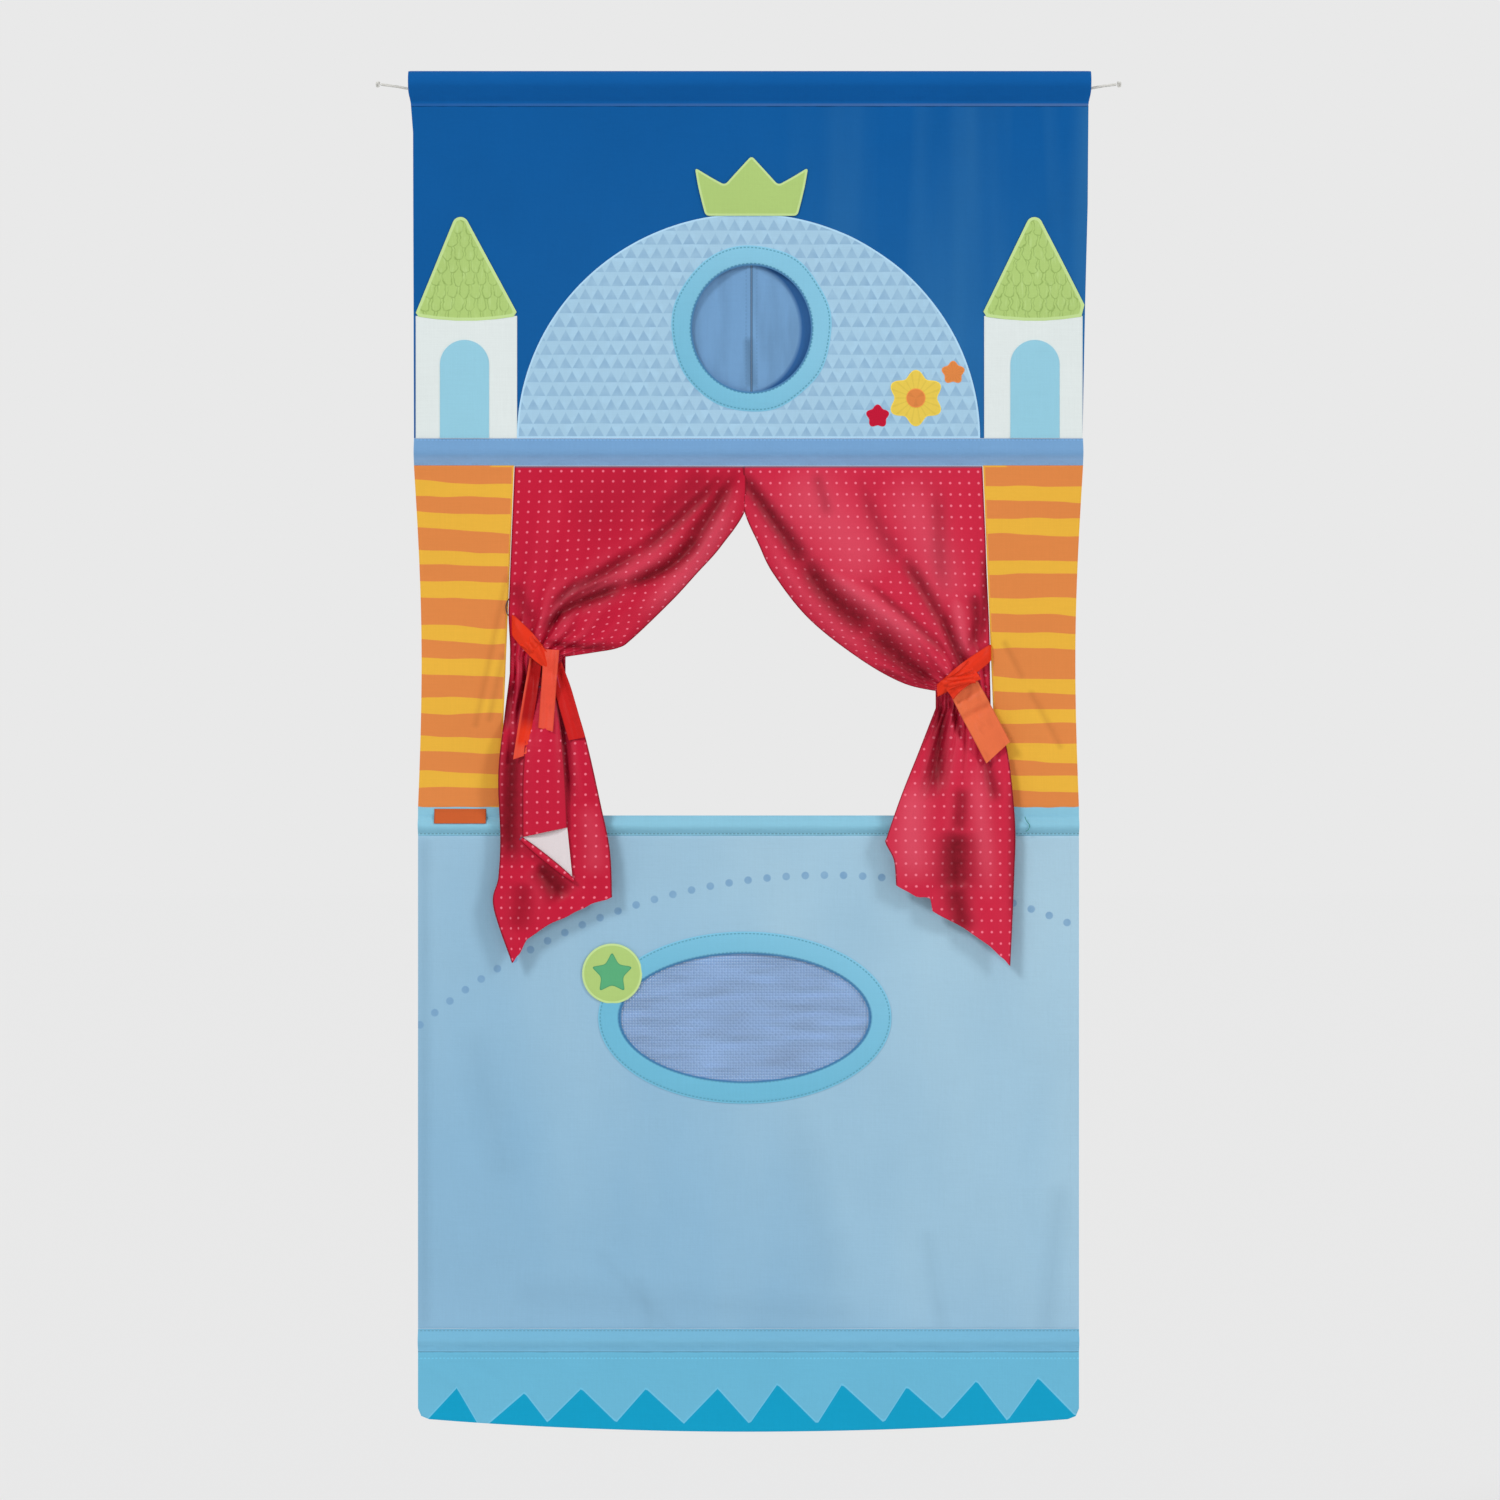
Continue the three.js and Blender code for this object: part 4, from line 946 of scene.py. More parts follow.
def make_sky(context):
    sizes, dyes = settings(context)
    finish = Finish("sky_finish", dyes.sky)
    # Painted light: paler streaks along the folds' crests, growing towards the right
    streaks = (finish.grain(15, 1.1, 2) - 0.46).clamped(3.2)
    finish.lay(streaks * (finish.x * 2.4 - finish.z * 0.7).clamped(), dyes.sky_lit)
    # Paler towards the ledge and towards the right
    paler_low_right = (finish.z * -2.4 - 0.15).clamped() * (finish.x * 1.2 + 0.5).clamped()
    finish.lay(paler_low_right, dyes.sky_low)
    material = finish.done(0.14)
    header_finish = Finish("header_finish", dyes.header)
    pale = tuple(lerp(c, 0.5, 0.22) for c in dyes.sky)
    header_finish.lay(
        (header_finish.z - header_stitch_z - 0.0004).absolute().below(0.0024, 0.0016)
        * header_finish.x.maths("MULTIPLY_ADD", 0.6, 0.35, clamp=True), pale,
    )
    header_material = header_finish.done(0.12)

    bottom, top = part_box("sky_panel")[0].z, header_stitch_z - 0.0006
    outline = [
        (-sky_bottom_half, bottom), (sky_bottom_half - 0.0006, bottom), (0.3703, -0.245), (0.3732, -0.135),
        (sky_top_half + 0.0015, top), (-sky_top_half + 0.0012, top), (-0.369, -0.055),
    ]
    hole = ring_points(window_x, window_z, window_half_width, window_half_height)
    panel = flat_cloth("sky_cloth", outline, material, sky_depth, sizes.cloth, holes=[hole], hem=hem_width)
    wear(panel, "sky_cloth", "castle_cloth", "sky_panel")

    radius, tip = header_radius, header_tip
    lean = asin(radius / tip)
    arc_length = radius * (pi + 2 * (pi / 2 - lean))
    straight = sqrt(tip**2 - radius**2) - sizes.cloth
    below = abs(header_stitch_z) - tip + 0.0012
    total = 2 * (straight + below) + arc_length

    def section(distance):
        """A point of the header's section, from the sewn edge in front over the rod to the one behind."""
        side = -1
        if distance > total / 2:
            distance, side = total - distance, 1
        if distance < below:
            return side * sizes.cloth, -abs(header_stitch_z) - 0.0012 + distance
        distance -= below
        if distance < straight:
            t = distance / straight
            return (
                side * lerp(sizes.cloth, radius * cos(lean), t),
                lerp(-tip + sizes.cloth, -radius * sin(lean), t),
            )
        angle = (distance - straight) / radius - lean
        return side * radius * cos(angle), radius * sin(angle)

    def surface(u, v):
        y, z = section(v * total)
        drawn_in = smooth((header_edge_z - z) / 0.018) * (header_half - sky_top_half)
        x = (2 * u - 1) * (header_half - drawn_in) + header_shift
        loose = 0.0007 * wander(x, z, 0.035, 5.0) + 0.0005 * wander(x, z * 0.3, 0.008, 6.0)
        loose *= smooth((abs(y) - sizes.cloth) / 0.004)
        return x, y + copysign(loose, y), z + 0.0004

    header = grid_cloth("sky_header", surface, 190, np.linspace(0, 1, 57), sizes.cloth, header_material, True)
    wear(header, "sky_cloth", "castle_cloth", "sky_panel")


def sew_patch(name, outline, material, level, slot, node, body="castle_cloth", flat=None, **options):
    """A patch at that level over the sky cloth or the lower panel."""
    sizes = bpy.context.scene.theatre_sizes
    under = lower_depth if body == "lower_cloth" else sky_depth
    step = sizes.cloth / 2 + touch_gap / 2 + sizes.patch / 2 + (level - 1) * layer_pitch
    options = {"puff": patch_puff, "spacing": sizes.mesh * 0.8, **options}
    piece = flat_cloth(name, outline, material, lambda x, z: under(x, z) - step, sizes.patch, **options)
    wear(piece, slot, body, node)
    low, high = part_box(node)
    size = flat or (high.x - low.x, high.z - low.z)
    area = None if flat else min(piece["flat_area"], size[0] * size[1])


def make_castle(context):
    sizes, dyes = settings(context)
    hole = ring_points(window_x, window_z, window_half_width, window_half_height)

    low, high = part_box("dome_patch")
    finish = Finish("dome_finish", dyes.dome)
    rows = (finish.z - low.z) / (sizes.triangle * 1.06) + finish.grain(30, 30) * 0.1
    row = rows.floor()
    shifted = finish.x / sizes.triangle + row * 0.5 + finish.grain(40, 40) * 0.12
    across = (shifted.fract() - 0.5).absolute()
    height = rows.fract()
    triangle = (across * 1.7 + height).below(0.97, 0.14).both((0.1 - height).below(0.02, 0.05))
    spots = finish.grain(70, 70, 1)
    pale = (spots - 0.52).clamped(6.0) * 0.4
    finish.lay(pale, toned(dyes.dome, 1.12))
    finish.lay(triangle * (spots * 1.2 + 0.05), dyes.dome_print)
    finish.lay(finish.edge.below(0.0024, 0.0008), toned(dyes.dome, 1.18))
    finish.raise_by(finish.edge.below(0.0026, 0.001) * 0.0003)
    dome = arc((low.x + high.x) / 2, low.z, (high.x - low.x) / 2, high.z - low.z, 0, 180, 96)
    sew_patch("dome_cloth", dome, finish.done(), 1, "dome_cloth", "dome_patch", holes=[hole])

    low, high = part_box("round_window_ring")
    binding = binding_finish(
        "ring_finish", dyes, (window_x, window_z), (window_half_width, window_half_height), 0.8,
    )
    across, up = (high.x - low.x) / 2, (high.z - low.z) / 2
    band = (across + up - window_half_width - window_half_height) / 2
    ring = [
        (x + 0.0007 * sin(8 * i / 15), z + 0.0007 * sin(7 * i / 15 + 1))
        for i, (x, z) in enumerate(ring_points(window_x, window_z, across, up, 94))
    ]
    sew_patch(
        "round_window_binding", ring, binding, 2, "cyan_cloth", "round_window_ring",
        holes=[ring_points(window_x, window_z, window_half_width - 0.0006, window_half_height - 0.0006)],
        flat=(band, pi * (across + up - band)), puff=0.0012, spacing=0.003,
    )

    lime = Finish("lime_finish", dyes.lime)
    lime.lay(lime.edge.below(0.0027, 0.0008), dyes.lime_edge)
    lime.raise_by(lime.edge.below(0.003, 0.001) * 0.0003)
    plain_lime = lime.done(0.12)
    low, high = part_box("crown_patch")
    wide, tall, middle = high.x - low.x, high.z - low.z, (low.x + high.x) / 2
    half = [(0.43, 0), (0.463, 0.22), (0.5, 0.5), (0.53, 0.815), (0.39, 0.66), (0.25, 0.52), (0.135, 0.75)]
    crown = [(middle + x * wide, low.z + z * tall) for x, z in half] + [(middle, high.z + 0.001)]
    crown += [(middle - x * wide, low.z + z * tall) for x, z in reversed(half)]
    sew_patch("crown_cloth", rounded(crown, 0.0045), plain_lime, 2, "lime_cloth", "crown_patch")

    for side in ("left", "right"):
        make_tower(context, side)
    make_flowers(context)


def binding_finish(name, dyes, centre, hole, pale):
    """The cloth bound round a window's hole, with painted light that makes it paler at its upper right and a
    painted shade line at the hole's edge.
    """
    finish = Finish(name, dyes.cyan)
    across, up = (finish.x - centre[0]) / hole[0], (finish.z - centre[1]) / hole[1]
    # Painted light: paler towards the upper right
    finish.lay(((across + up) * 0.28 + pale).clamped(), dyes.cyan_pale)
    finish.stitches(finish.along, finish.edge - 0.0022, toned(dyes.cyan, 0.72))
    finish.lay(finish.edge.below(0.0012, 0.001) * 0.5, toned(dyes.cyan_pale, 1.2))
    # Painted shade: a dark line where the binding turns into the hole
    rim = (across * across + up * up).maths("SQRT") - 1.0
    finish.lay(rim.below(0.0019 / hole[1], 0.0012 / hole[1]) * 0.75, dyes.shaded_facing)
    finish.raise_by(finish.grain(14, 14, 3, 1) * 0.001)
    return finish.done()


def make_tower(context, side):
    """A tower's wall, window and roof. The right one's are sewn a little further out."""
    sizes, dyes = settings(context)
    left = side == "left"
    low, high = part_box(f"tower_wall_{side}")
    low.x += 0.0 if left else 0.0042
    high.x += 0.0005 if left else 0.0014
    white = Finish(f"wall_finish_{side}", dyes.white)
    white.lay(white.edge.below(0.0016, 0.001), toned(dyes.white, 0.93))
    sew_patch(
        f"wall_cloth_{side}", oblong(low, high), white.done(0.05), 1, "white_cloth", f"tower_wall_{side}",
        puff=0.0002,
    )

    low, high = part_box(f"tower_window_{side}")
    middle, half = (low.x + high.x) / 2 + (-0.0018 if left else 0.0045), (high.x - low.x) / 2
    pane = Finish(f"pane_finish_{side}", dyes.window)
    opening = [(middle - half, low.z), (middle + half, low.z)]
    opening += arc(middle, high.z - half, half, half, 0, 180, 32)
    sew_patch(f"window_cloth_{side}", opening, pane.done(0.08), 2, "window_cloth", f"tower_window_{side}")

    low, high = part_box(f"tower_roof_{side}")
    roof = Finish(f"roof_finish_{side}", dyes.lime)
    bend = (roof.grain(95, 95) - 0.5) * 1.1
    sway = (roof.grain(80, 110) - 0.5) * 0.9
    rows = roof.z / (sizes.scale * 1.12) + bend * 0.55
    shifted = roof.x / sizes.scale + rows.floor() * 0.5 + sway * 0.7
    u = (shifted.fract() - 0.5) * 1.05
    v = rows.fract() - 0.42
    below_arc = (u * u + v * v).maths("SQRT")
    scallop = (below_arc - 0.4).absolute().below(0.085, 0.08).both(v.below(0.12, 0.1))
    sides = (u.absolute() - 0.4).absolute().below(0.075, 0.08).both((0.0 - v).below(0.0, 0.08))
    worn = (roof.grain(150, 90) - 0.27).clamped(3.6)
    marks = scallop.either(sides) * worn * 0.75
    strokes = (roof.grain(420, 60, 1) - 0.56).clamped(5.0) * 0.45
    roof.lay(strokes, dyes.lime_edge)
    roof.lay(marks, dyes.lime_print)
    roof.lay(roof.edge.below(0.0038, 0.001), dyes.lime_edge)
    roof.raise_by(marks * -0.00025)
    middle, half, tip = (low.x + high.x) / 2 + (0.0 if left else 0.0034), (high.x - low.x) / 2, 0.009
    crest = middle + (-0.0062 if left else 0.0006)
    eaves = low.z - 0.0006
    bow = [
        (middle + half * share, eaves - roof_bow * (1 - share**2))
        for share in (-0.94, -0.6, -0.2, 0.2, 0.6, 0.94)
    ]
    lean = degrees(atan2(half - tip, high.z - eaves - tip))
    peak = arc(crest, high.z - tip - 0.0016, tip, tip, lean - 2, 182 - lean, 14)
    corners = (0.0035, 0.0045) if left else (0.005, 0.0125)
    outline = [(middle - half, eaves + corners[0]), *bow, (middle + half, eaves + corners[1]), *peak]
    sew_patch(f"roof_cloth_{side}", outline, roof.done(0.14), 1.6, "lime_cloth", f"tower_roof_{side}")


def make_flowers(context):
    dyes = context.scene.theatre_colours
    for node, name, colour, slot, level, lobes, share in (
        ("flower_yellow", "large_flower", dyes.flower, "yellow_cloth", 2, 6, 0.24),
        ("flower_centre", "flower_heart", dyes.orange, "orange_cloth", 3, 1, 0.0),
        ("flower_red", "red_flower", dyes.red, "red_satin", 2, 5, 0.24),
        ("flower_orange", "orange_flower", dyes.orange, "orange_cloth", 2, 5, 0.24),
    ):
        low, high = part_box(node)
        middle = (low + high) / 2
        reach = (high.z - low.z) / 2 if lobes != 5 else high.z - middle.z
        finish = Finish(f"{name}_finish", colour)
        turn = add_node(
            finish.tree, "ShaderNodeMath",
            {0: finish.x - middle.x, 1: finish.z - middle.z}, operation="ARCTAN2",
        )
        veins = (turn * (lobes * 3.0)).maths("COSINE").below(-0.55, 0.3)
        finish.lay(veins * 0.25, toned(colour, 0.7))
        finish.lay(finish.edge.below(0.0012, 0.0006), toned(colour, 1.2))
        steps = 16 * lobes if lobes > 1 else 40
        outline = []
        for i in range(steps):
            angle = 2 * pi * i / steps
            radius = reach * (1 - share / 2 + share / 2 * cos(lobes * angle))
            outline.append((middle.x + radius * sin(angle), middle.z + radius * cos(angle)))
        sew_patch(name, outline[::-1], finish.done(), level, slot, node, spacing=0.0025)


def make_flaps(context):
    sizes, dyes = settings(context)
    for sign, side in both_sides:
        low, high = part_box(f"window_flap_{side}")
        seam, slit = (low.x, high.x) if sign < 0 else (high.x, low.x)
        finish = Finish(f"flap_finish_{side}", dyes.periwinkle)
        near_slit = (finish.x - slit).absolute()
        dark = toned(dyes.periwinkle, 0.3)
        streaks = (finish.grain(45, 9, 3) - 0.42).clamped(4.0)
        finish.lay(streaks * 0.45, toned(dyes.periwinkle, 0.68))
        finish.stitches(finish.z, near_slit - 0.0055, toned(dyes.periwinkle, 0.86))
        # Painted shade: a soft shadow down the slit's upper part and a dark line in the slit between the
        # flaps
        finish.mark((window_x - 0.003, -0.286), (window_x, -0.33), 0.008, 0.5, dark)
        finish.lay(near_slit.below(0.0014, 0.001) * 0.75, dark)
        # The right flap's dark crescent: the sky cloth beside it, painted as it lies in the ring's shade
        if side == "right":
            across = (finish.x - window_x + shaded_facing_shift) / (window_half_width + 0.0006)
            up = (finish.z - window_z) / (window_half_height + 0.0006)
            shaded_facing = (across * across + up * up).maths("SQRT") - 1.0
            finish.lay((0.0 - shaded_facing).below(0.0, 0.07) * 0.92, dyes.shaded_facing)
        finish.raise_by(finish.grain(30, 12) * 0.0015)
        up = (high.z - low.z) / 2
        reach = window_half_width + 0.007
        first = degrees(acos(abs(seam - window_x) / reach))
        last = degrees(acos(0.0004 / reach))
        upper = arc(0, 0, reach, up, first, last, 30)
        lower = arc(0, 0, reach, up, -last, -first, 30)
        outline = [(window_x + sign * x, window_z + z) for x, z in upper + lower]
        outline = [(x - sign * 0.00038 if abs(x - slit) < 0.0008 else x, z) for x, z in outline]
        back = (low.y + high.y) / 2 + 0.0003

        def depth(x, z):
            inwards = smooth(abs(x - slit) / 0.05)
            billow = flap_billow * sin(pi * min(abs(x - slit) / reach, 1.0))
            return back + billow + 0.0016 * inwards * wander(x, z, 0.04, 7.0)

        flap = flat_cloth(
            f"flap_cloth_{side}", outline, finish.done(), depth, sizes.cloth, spacing=0.004, hem=0.006,
        )
        wear(flap, "periwinkle_cloth", f"flap_{side}", f"window_flap_{side}")


def make_tunnel(context, name, node, material, slot, body, half_width, seed, wrinkle=0.0006):
    """A band of cloth folded over a slim rod and sewn above and below it."""
    sizes = context.scene.theatre_sizes
    low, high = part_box(node)
    top, bottom = high.z, low.z
    if node == "stage_band":
        top = low.z + stage_tunnel_height
    if node == "ledge_band":  # leaves room for the curtains' top edges where the stage part folds back
        bottom += sizes.cloth / 2
    half, centre = (top - bottom) / 2, (top + bottom) / 2
    tip = half - tunnel_edge
    lean = asin(tunnel_bulge / tip)

    def wall(z):
        """How far the band stands off the middle plane at a height above the rod's axis."""
        rise = abs(z)
        if rise <= tunnel_bulge * sin(lean):
            return sqrt(tunnel_bulge**2 - rise**2)
        return max((tip - rise) * tan(lean), 0.0) + sizes.cloth / 2

    def surface(u, v):
        front = v < 0.5
        share = 2 * v if front else 2 - 2 * v
        z = lerp(half, -half, share)
        x = (2 * u - 1) * half_width
        stands = wall(z)
        creases = wrinkle * wander(x, z * 0.6, 0.012, seed) * (0.4 + smooth((abs(z) - 0.002) / 0.006))
        creases += wrinkle * 0.9 * wander(x + 0.8 * z, z, 0.045, seed + 1)
        fade = smooth((half - abs(z)) / 0.003)
        y = stands + max(creases * fade, -0.0002 - stands * 0.04)
        return x, (-y if front else y), centre + z

    band = grid_cloth(name, surface, 220, np.linspace(0, 1, 41), sizes.cloth, material, True)
    wear(band, slot, body, node)


def make_ledge(context):
    dyes = context.scene.theatre_colours
    finish = Finish("ledge_finish", dyes.periwinkle)
    low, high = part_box("ledge_band")
    pale = toned(dyes.periwinkle, 1.2)
    finish.stitches(finish.x, finish.z - (high.z - 0.0018), pale)
    finish.stitches(finish.x, finish.z - (low.z + 0.0018), pale)
    finish.raise_by(finish.grain(60, 160, 3, 1.5) * 0.0007)
    # Painted light: the band's lower half paler, against the shade under the rod's bulge
    finish.lay((finish.z - (low.z + 0.013)).below(0.0, 0.006) * 0.75, dyes.periwinkle_pale)
    slanted = finish.grain(260, 60, 2, 2.5)
    marks = (slanted - 0.5).absolute().below(0.012, 0.03) * (finish.grain(11, 5) - 0.5).clamped(9.0)
    finish.lay(marks * 0.6, toned(dyes.periwinkle, 0.5))
    make_tunnel(
        context, "ledge_cloth", "ledge_band", finish.done(), "periwinkle_cloth", "castle_cloth",
        sky_bottom_half, 11.0,
    )


def make_strips(context):
    sizes, dyes = settings(context)
    top, bottom = strip_top_z + 0.0012, strip_top_z - strip_height
    stripes = {
        "left": (
            (0.044, 0.088), (0.134, 0.184), (0.246, 0.289), (0.339, 0.386), (0.465, 0.509),
            (0.561, 0.611), (0.678, 0.722), (0.792, 0.839), (0.898, 0.939),
        ),
        "right": (
            (0.056, 0.099), (0.152, 0.196), (0.272, 0.316), (0.383, 0.433), (0.488, 0.532),
            (0.614, 0.664), (0.708, 0.751), (0.807, 0.865), (0.906, 0.947),
        ),
    }
    slopes = {"left": (0.055, 0.02), "right": (0.006, 0.026)}
    folds = {
        "left": [
            ((-0.266, -0.545), (-0.3, -0.706), 0.0022, 0.005),
            ((-0.27, -0.63), (-0.285, -0.7), -0.0014, 0.004),
        ],
        "right": [
            ((0.282, -0.617), (0.3, -0.652), 0.0018, 0.004),
            ((0.311, -0.672), (0.343, -0.73), 0.0022, 0.005),
        ],
    }
    for sign, side in both_sides:
        finish = Finish(f"strip_finish_{side}", dyes.orange)
        warp = (finish.grain(13, 30, 1.5) - 0.5) * 0.03
        level = (strip_top_z - finish.z) / strip_height
        first, last = slopes[side]
        tilt = (finish.x - sign * 0.31) * (level * (last - first) + first) / strip_height
        down = level + warp - tilt
        stops = [(0.0, 0.0)]
        for first, last in stripes[side]:
            stops += [(first, 1.0), (last, 0.0)]
        ramp = {"interpolation": "CONSTANT", "stops": stops}
        finish.lay(add_node(finish.tree, "ShaderNodeValToRGB", {"Fac": down}, **ramp), dyes.yellow)
        inner = (finish.x * sign).below(strip_inner_bottom + 0.012, 0.004)
        finish.lay(inner.both(finish.edge.below(0.0022, 0.0008)) * 0.8, dyes.yellow)
        for start, end, *_ in folds[side]:
            finish.mark(start, end, 0.0055, 0.24, toned(dyes.orange, 0.45))
        falls = [i / 24 for i in range(25)]
        outline = [(sign * strip_outer(fall), strip_top_z - strip_height * fall) for fall in falls]
        outline[0] = (outline[0][0], top)
        outline += [(sign * strip_inner(1), bottom), (sign * strip_inner(0), top)]
        if sign > 0:
            outline.reverse()

        def depth(x, z):
            return stage_depth(x, z) + sum(crease(x, z, *fold) for fold in folds[side])

        strip = flat_cloth(
            f"strip_cloth_{side}", outline, finish.done(0.08), depth, sizes.cloth, hem=0.008, spacing=0.0042,
        )
        span_joint(
            strip, "orange_cloth", "castle_cloth", "stage_cloth", ledge_low + 0.0008, strip_top_z - 0.0008,
            f"side_strip_{side}",
        )


def profile(knots, place):
    """A height between knots of (place, height), with round crests and troughs."""
    if place <= knots[0][0]:
        return knots[0][1]
    for (first, low), (last, high) in zip(knots, knots[1:]):
        if place <= last:
            return lerp(low, high, smooth((place - first) / (last - first)))
    return knots[-1][1]


class Curtain:
    """One tied-back curtain, from the ledge over its tie to its hem.

    edge is the drape's free edge in shares of its width and height. tail_outer and tail_inner are the
    tail's edges in shares of the neck's width and the tail's height. hem is how far the hem's points lie
    above its line, at shares of the width.
    """

    def __init__(self, side, name, height, neck_width, tail_height, **tables):
        self.side = side
        self.name = name
        self.height = height
        self.neck_width = neck_width
        self.tail_height = tail_height
        self.neck_top = strip_top_z - height
        self.tail_top = self.neck_top - neck_height
        self.meet = curtain_meet_x - side * curtain_lap
        self.behind = lap_step if side < 0 else 0.0
        self.depths_grid = None
        for key, table in tables.items():
            setattr(self, key, table)

    def outer(self, drop):
        """The edge beside the strip, which it follows until it leaves it above the tie."""
        beside = strip_inner(drop * self.height / strip_height) - curtain_gap
        leaves = smooth((drop - strip_left_at) / (1 - strip_left_at))
        return self.side * (beside - (self.gap - curtain_gap) * leaves)

    def drape_relief(self, x, z, u, drop):
        """How far the drape stands forward in the folds that fan out of its tie."""
        reach = hypot(x - self.tie[0], z - self.tie[1])
        return (self.folds(x, z) + self.gather(u, reach)) * smooth(drop / drape_start)

    def tail_relief(self, x, z, u, below):
        """How far the tail stands forward in its folds."""
        return self.folds(x, z) + self.gather(u, below)

    def folds(self, x, z):
        behind, before, _, _ = self.valleys.at(x, z)
        scale = bpy.context.scene.theatre_sizes.curtain_fold
        return scale * (0.16 * wander(x, z * 0.4, 0.03, 18.0 + self.side) + before - behind)

    def tone(self, x, z):
        """The painted shade and the painted highlight at a place."""
        return self.valleys.at(x, z)[2:]

    def gather(self, u, reach):
        """The small folds that the tie gathers, which fade with the distance from it."""
        waves = cos(2 * pi * 6 * u) + 0.4 * cos(2 * pi * 13 * u + 1.0)
        return gather_depth * waves * exp(-reach / gather_reach)

    def point(self, u, t):
        """A point of the cloth. t is 0 to 1 down the drape, 1 to 2 down the neck, 2 to 3 down the tail."""
        if t <= 1:
            across, down = (min(value, 1.0) for value in spline(self.edge_line(), t))
            width = abs(self.outer(t) - self.meet)
            x = self.outer(t) - self.side * u * across * width
            z = strip_top_z + 0.0005 * (1 - t) - self.height * lerp(t, down, u)
            forward = neck_depth * t + drape_belly * sin(pi * t) * sin(pi * u)
            lap = self.behind * smooth((u - 0.9) / 0.1) * (1 - smooth(t / 0.3))
            edge = edge_turn * smooth((u - 0.93) / 0.07) * smooth(t / 0.2)
            return x, lap + edge - forward - self.drape_relief(x, z, u, t), z
        if t <= 2:
            x = self.outer(1) - self.side * u * self.neck_width
            z = self.neck_top - neck_height * (t - 1)
            above = self.drape_relief(x, z, u, 1.0)
            return x, -neck_depth - lerp(above, self.tail_relief(x, z, u, 0.0), smooth(t - 1)), z
        v = t - 2
        a, b = spline(self.tail_line(self.tail_outer, -1), v), spline(self.tail_line(self.tail_inner, 1), v)
        below = max(lerp(a[1], b[1], u) - profile(self.hem, u) * v**4, 0.0)
        x = self.outer(1) - self.side * lerp(a[0], b[0], u)
        z = self.tail_top - below
        forward = tail_forward * smooth(below / tail_forward_height)
        return x, -neck_depth - forward - self.tail_relief(x, z, u, below), z

    def edge_line(self):
        return [*self.edge, (self.neck_width / abs(self.outer(1) - self.meet), 1.0)]

    def tail_line(self, shares, sign):
        return [(sign * across * self.neck_width, drop * self.tail_height) for across, drop in shares]

    def tail_depth(self):
        """A function that gives the depth of the tail's middle at a place."""
        if self.depths_grid is None:
            self.depths_grid = np.array([
                self.point(u, t) for u in np.linspace(0, 1, 60) for t in np.linspace(1.2, 3, 140)
            ])
        grid = self.depths_grid

        def depth(x, z):
            gap = np.hypot(grid[:, 0] - x, grid[:, 2] - z)
            nearest = np.argpartition(gap, 5)[:5]
            weight = 1 / (gap[nearest] + 0.0004)
            return float((grid[nearest, 1] * weight).sum() / weight.sum())

        return depth


left_curtain = Curtain(
    -1, "left", 0.209, 0.061, 0.31, tie=(-0.229, -0.612),
    edge=(
        (1, 0), (1, 0.217), (0.893, 0.42), (0.788, 0.566), (0.685, 0.706), (0.52, 0.905), (0.46, 0.955),
        (0.35, 0.98),
    ),
    tail_outer=((0, 0), (0.1, 0.15), (0.2, 0.36), (0.165, 0.58), (0.2, 0.72), (0.29, 0.82), (-0.048, 1.02)),
    tail_inner=((1, 0), (1.37, 0.229), (1.655, 0.474), (1.81, 0.63), (1.846, 0.79)),
    hem=(
        (0, -0.0013), (0.06, 0.003), (0.159, 0.0141), (0.346, 0.015), (0.591, 0.0102), (0.7635, 0.0074),
        (1, 0),
    ),
    gap=neck_gap, dot_spacing=(1, 0.98),
    valleys=Folds((480, 455), (760, 980), (
        (1, 1, 4.5, 7, (543, 646), (549, 627), (562, 612), (586, 600), (615, 589), (636, 582)),
        (1, 1, 5, 8, (600, 596), (630, 585), (652, 575), (671, 564), (687, 549), (700, 532), (712, 515)),
        (0.8, 0.85, 8, 6, (672, 562), (690, 543), (703, 524), (716, 504), (727, 486), (744, 462)),
        (0.5, 0.8, 3, 3.5, (544, 640), (553, 621), (567, 603), (584, 592), (603, 583), (630, 571)),
        (0.8, 0.8, 4, 6.5, (545, 634), (556, 605), (572, 590), (595, 578), (629, 557), (661, 537)),
        (0.7, 0.75, 6, 7, (612, 566), (645, 547), (668, 528), (690, 507), (712, 487), (738, 462)),
        (0.3, 0.45, 9, 14, (640, 530), (665, 512), (690, 490), (718, 466)),
        (0.2, 0.5, 9, 6, (512, 580), (522, 602), (538, 630)),
        (0.4, 0.75, 3, 4, (541, 642), (560, 645), (590, 648), (626, 647)),
        (-0.5, -0.55, 7, 9, (738, 490), (726, 516), (708, 545), (690, 570), (660, 598), (628, 625)),
        (-0.3, -0.4, 5, 9, (556, 606), (585, 591), (612, 580), (642, 566), (664, 548), (690, 522)),
        (-0.3, -0.55, 2, 4, (544, 636), (552, 616), (562, 600), (580, 586), (605, 574)),
        (0, 0.2, 26, 30, (560, 520), (620, 505), (680, 480)),
        (0.8, 0.9, 6, 5, (515, 676), (510, 695), (506, 715), (503, 735)),
        (0.8, 0.8, 4.5, 4.5, (533, 655), (526, 680), (521, 702), (515, 735)),
        (1, 1, 7, 10, (518, 725), (513, 760), (511, 800), (510, 840), (514, 872)),
        (0.7, 0.75, 5, 6, (561, 704), (564, 735), (566, 768), (569, 812)),
        (0.9, 1, 8, 12, (538, 862), (552, 880), (566, 900)),
        (0.4, 0.5, 9, 9, (522, 880), (523, 905), (518, 935)),
        (-0.2, -0.45, 12, 14, (541, 735), (542, 770), (546, 815)),
        (-0.2, -0.3, 8, 10, (586, 800), (594, 840), (596, 880)),
    )),
)
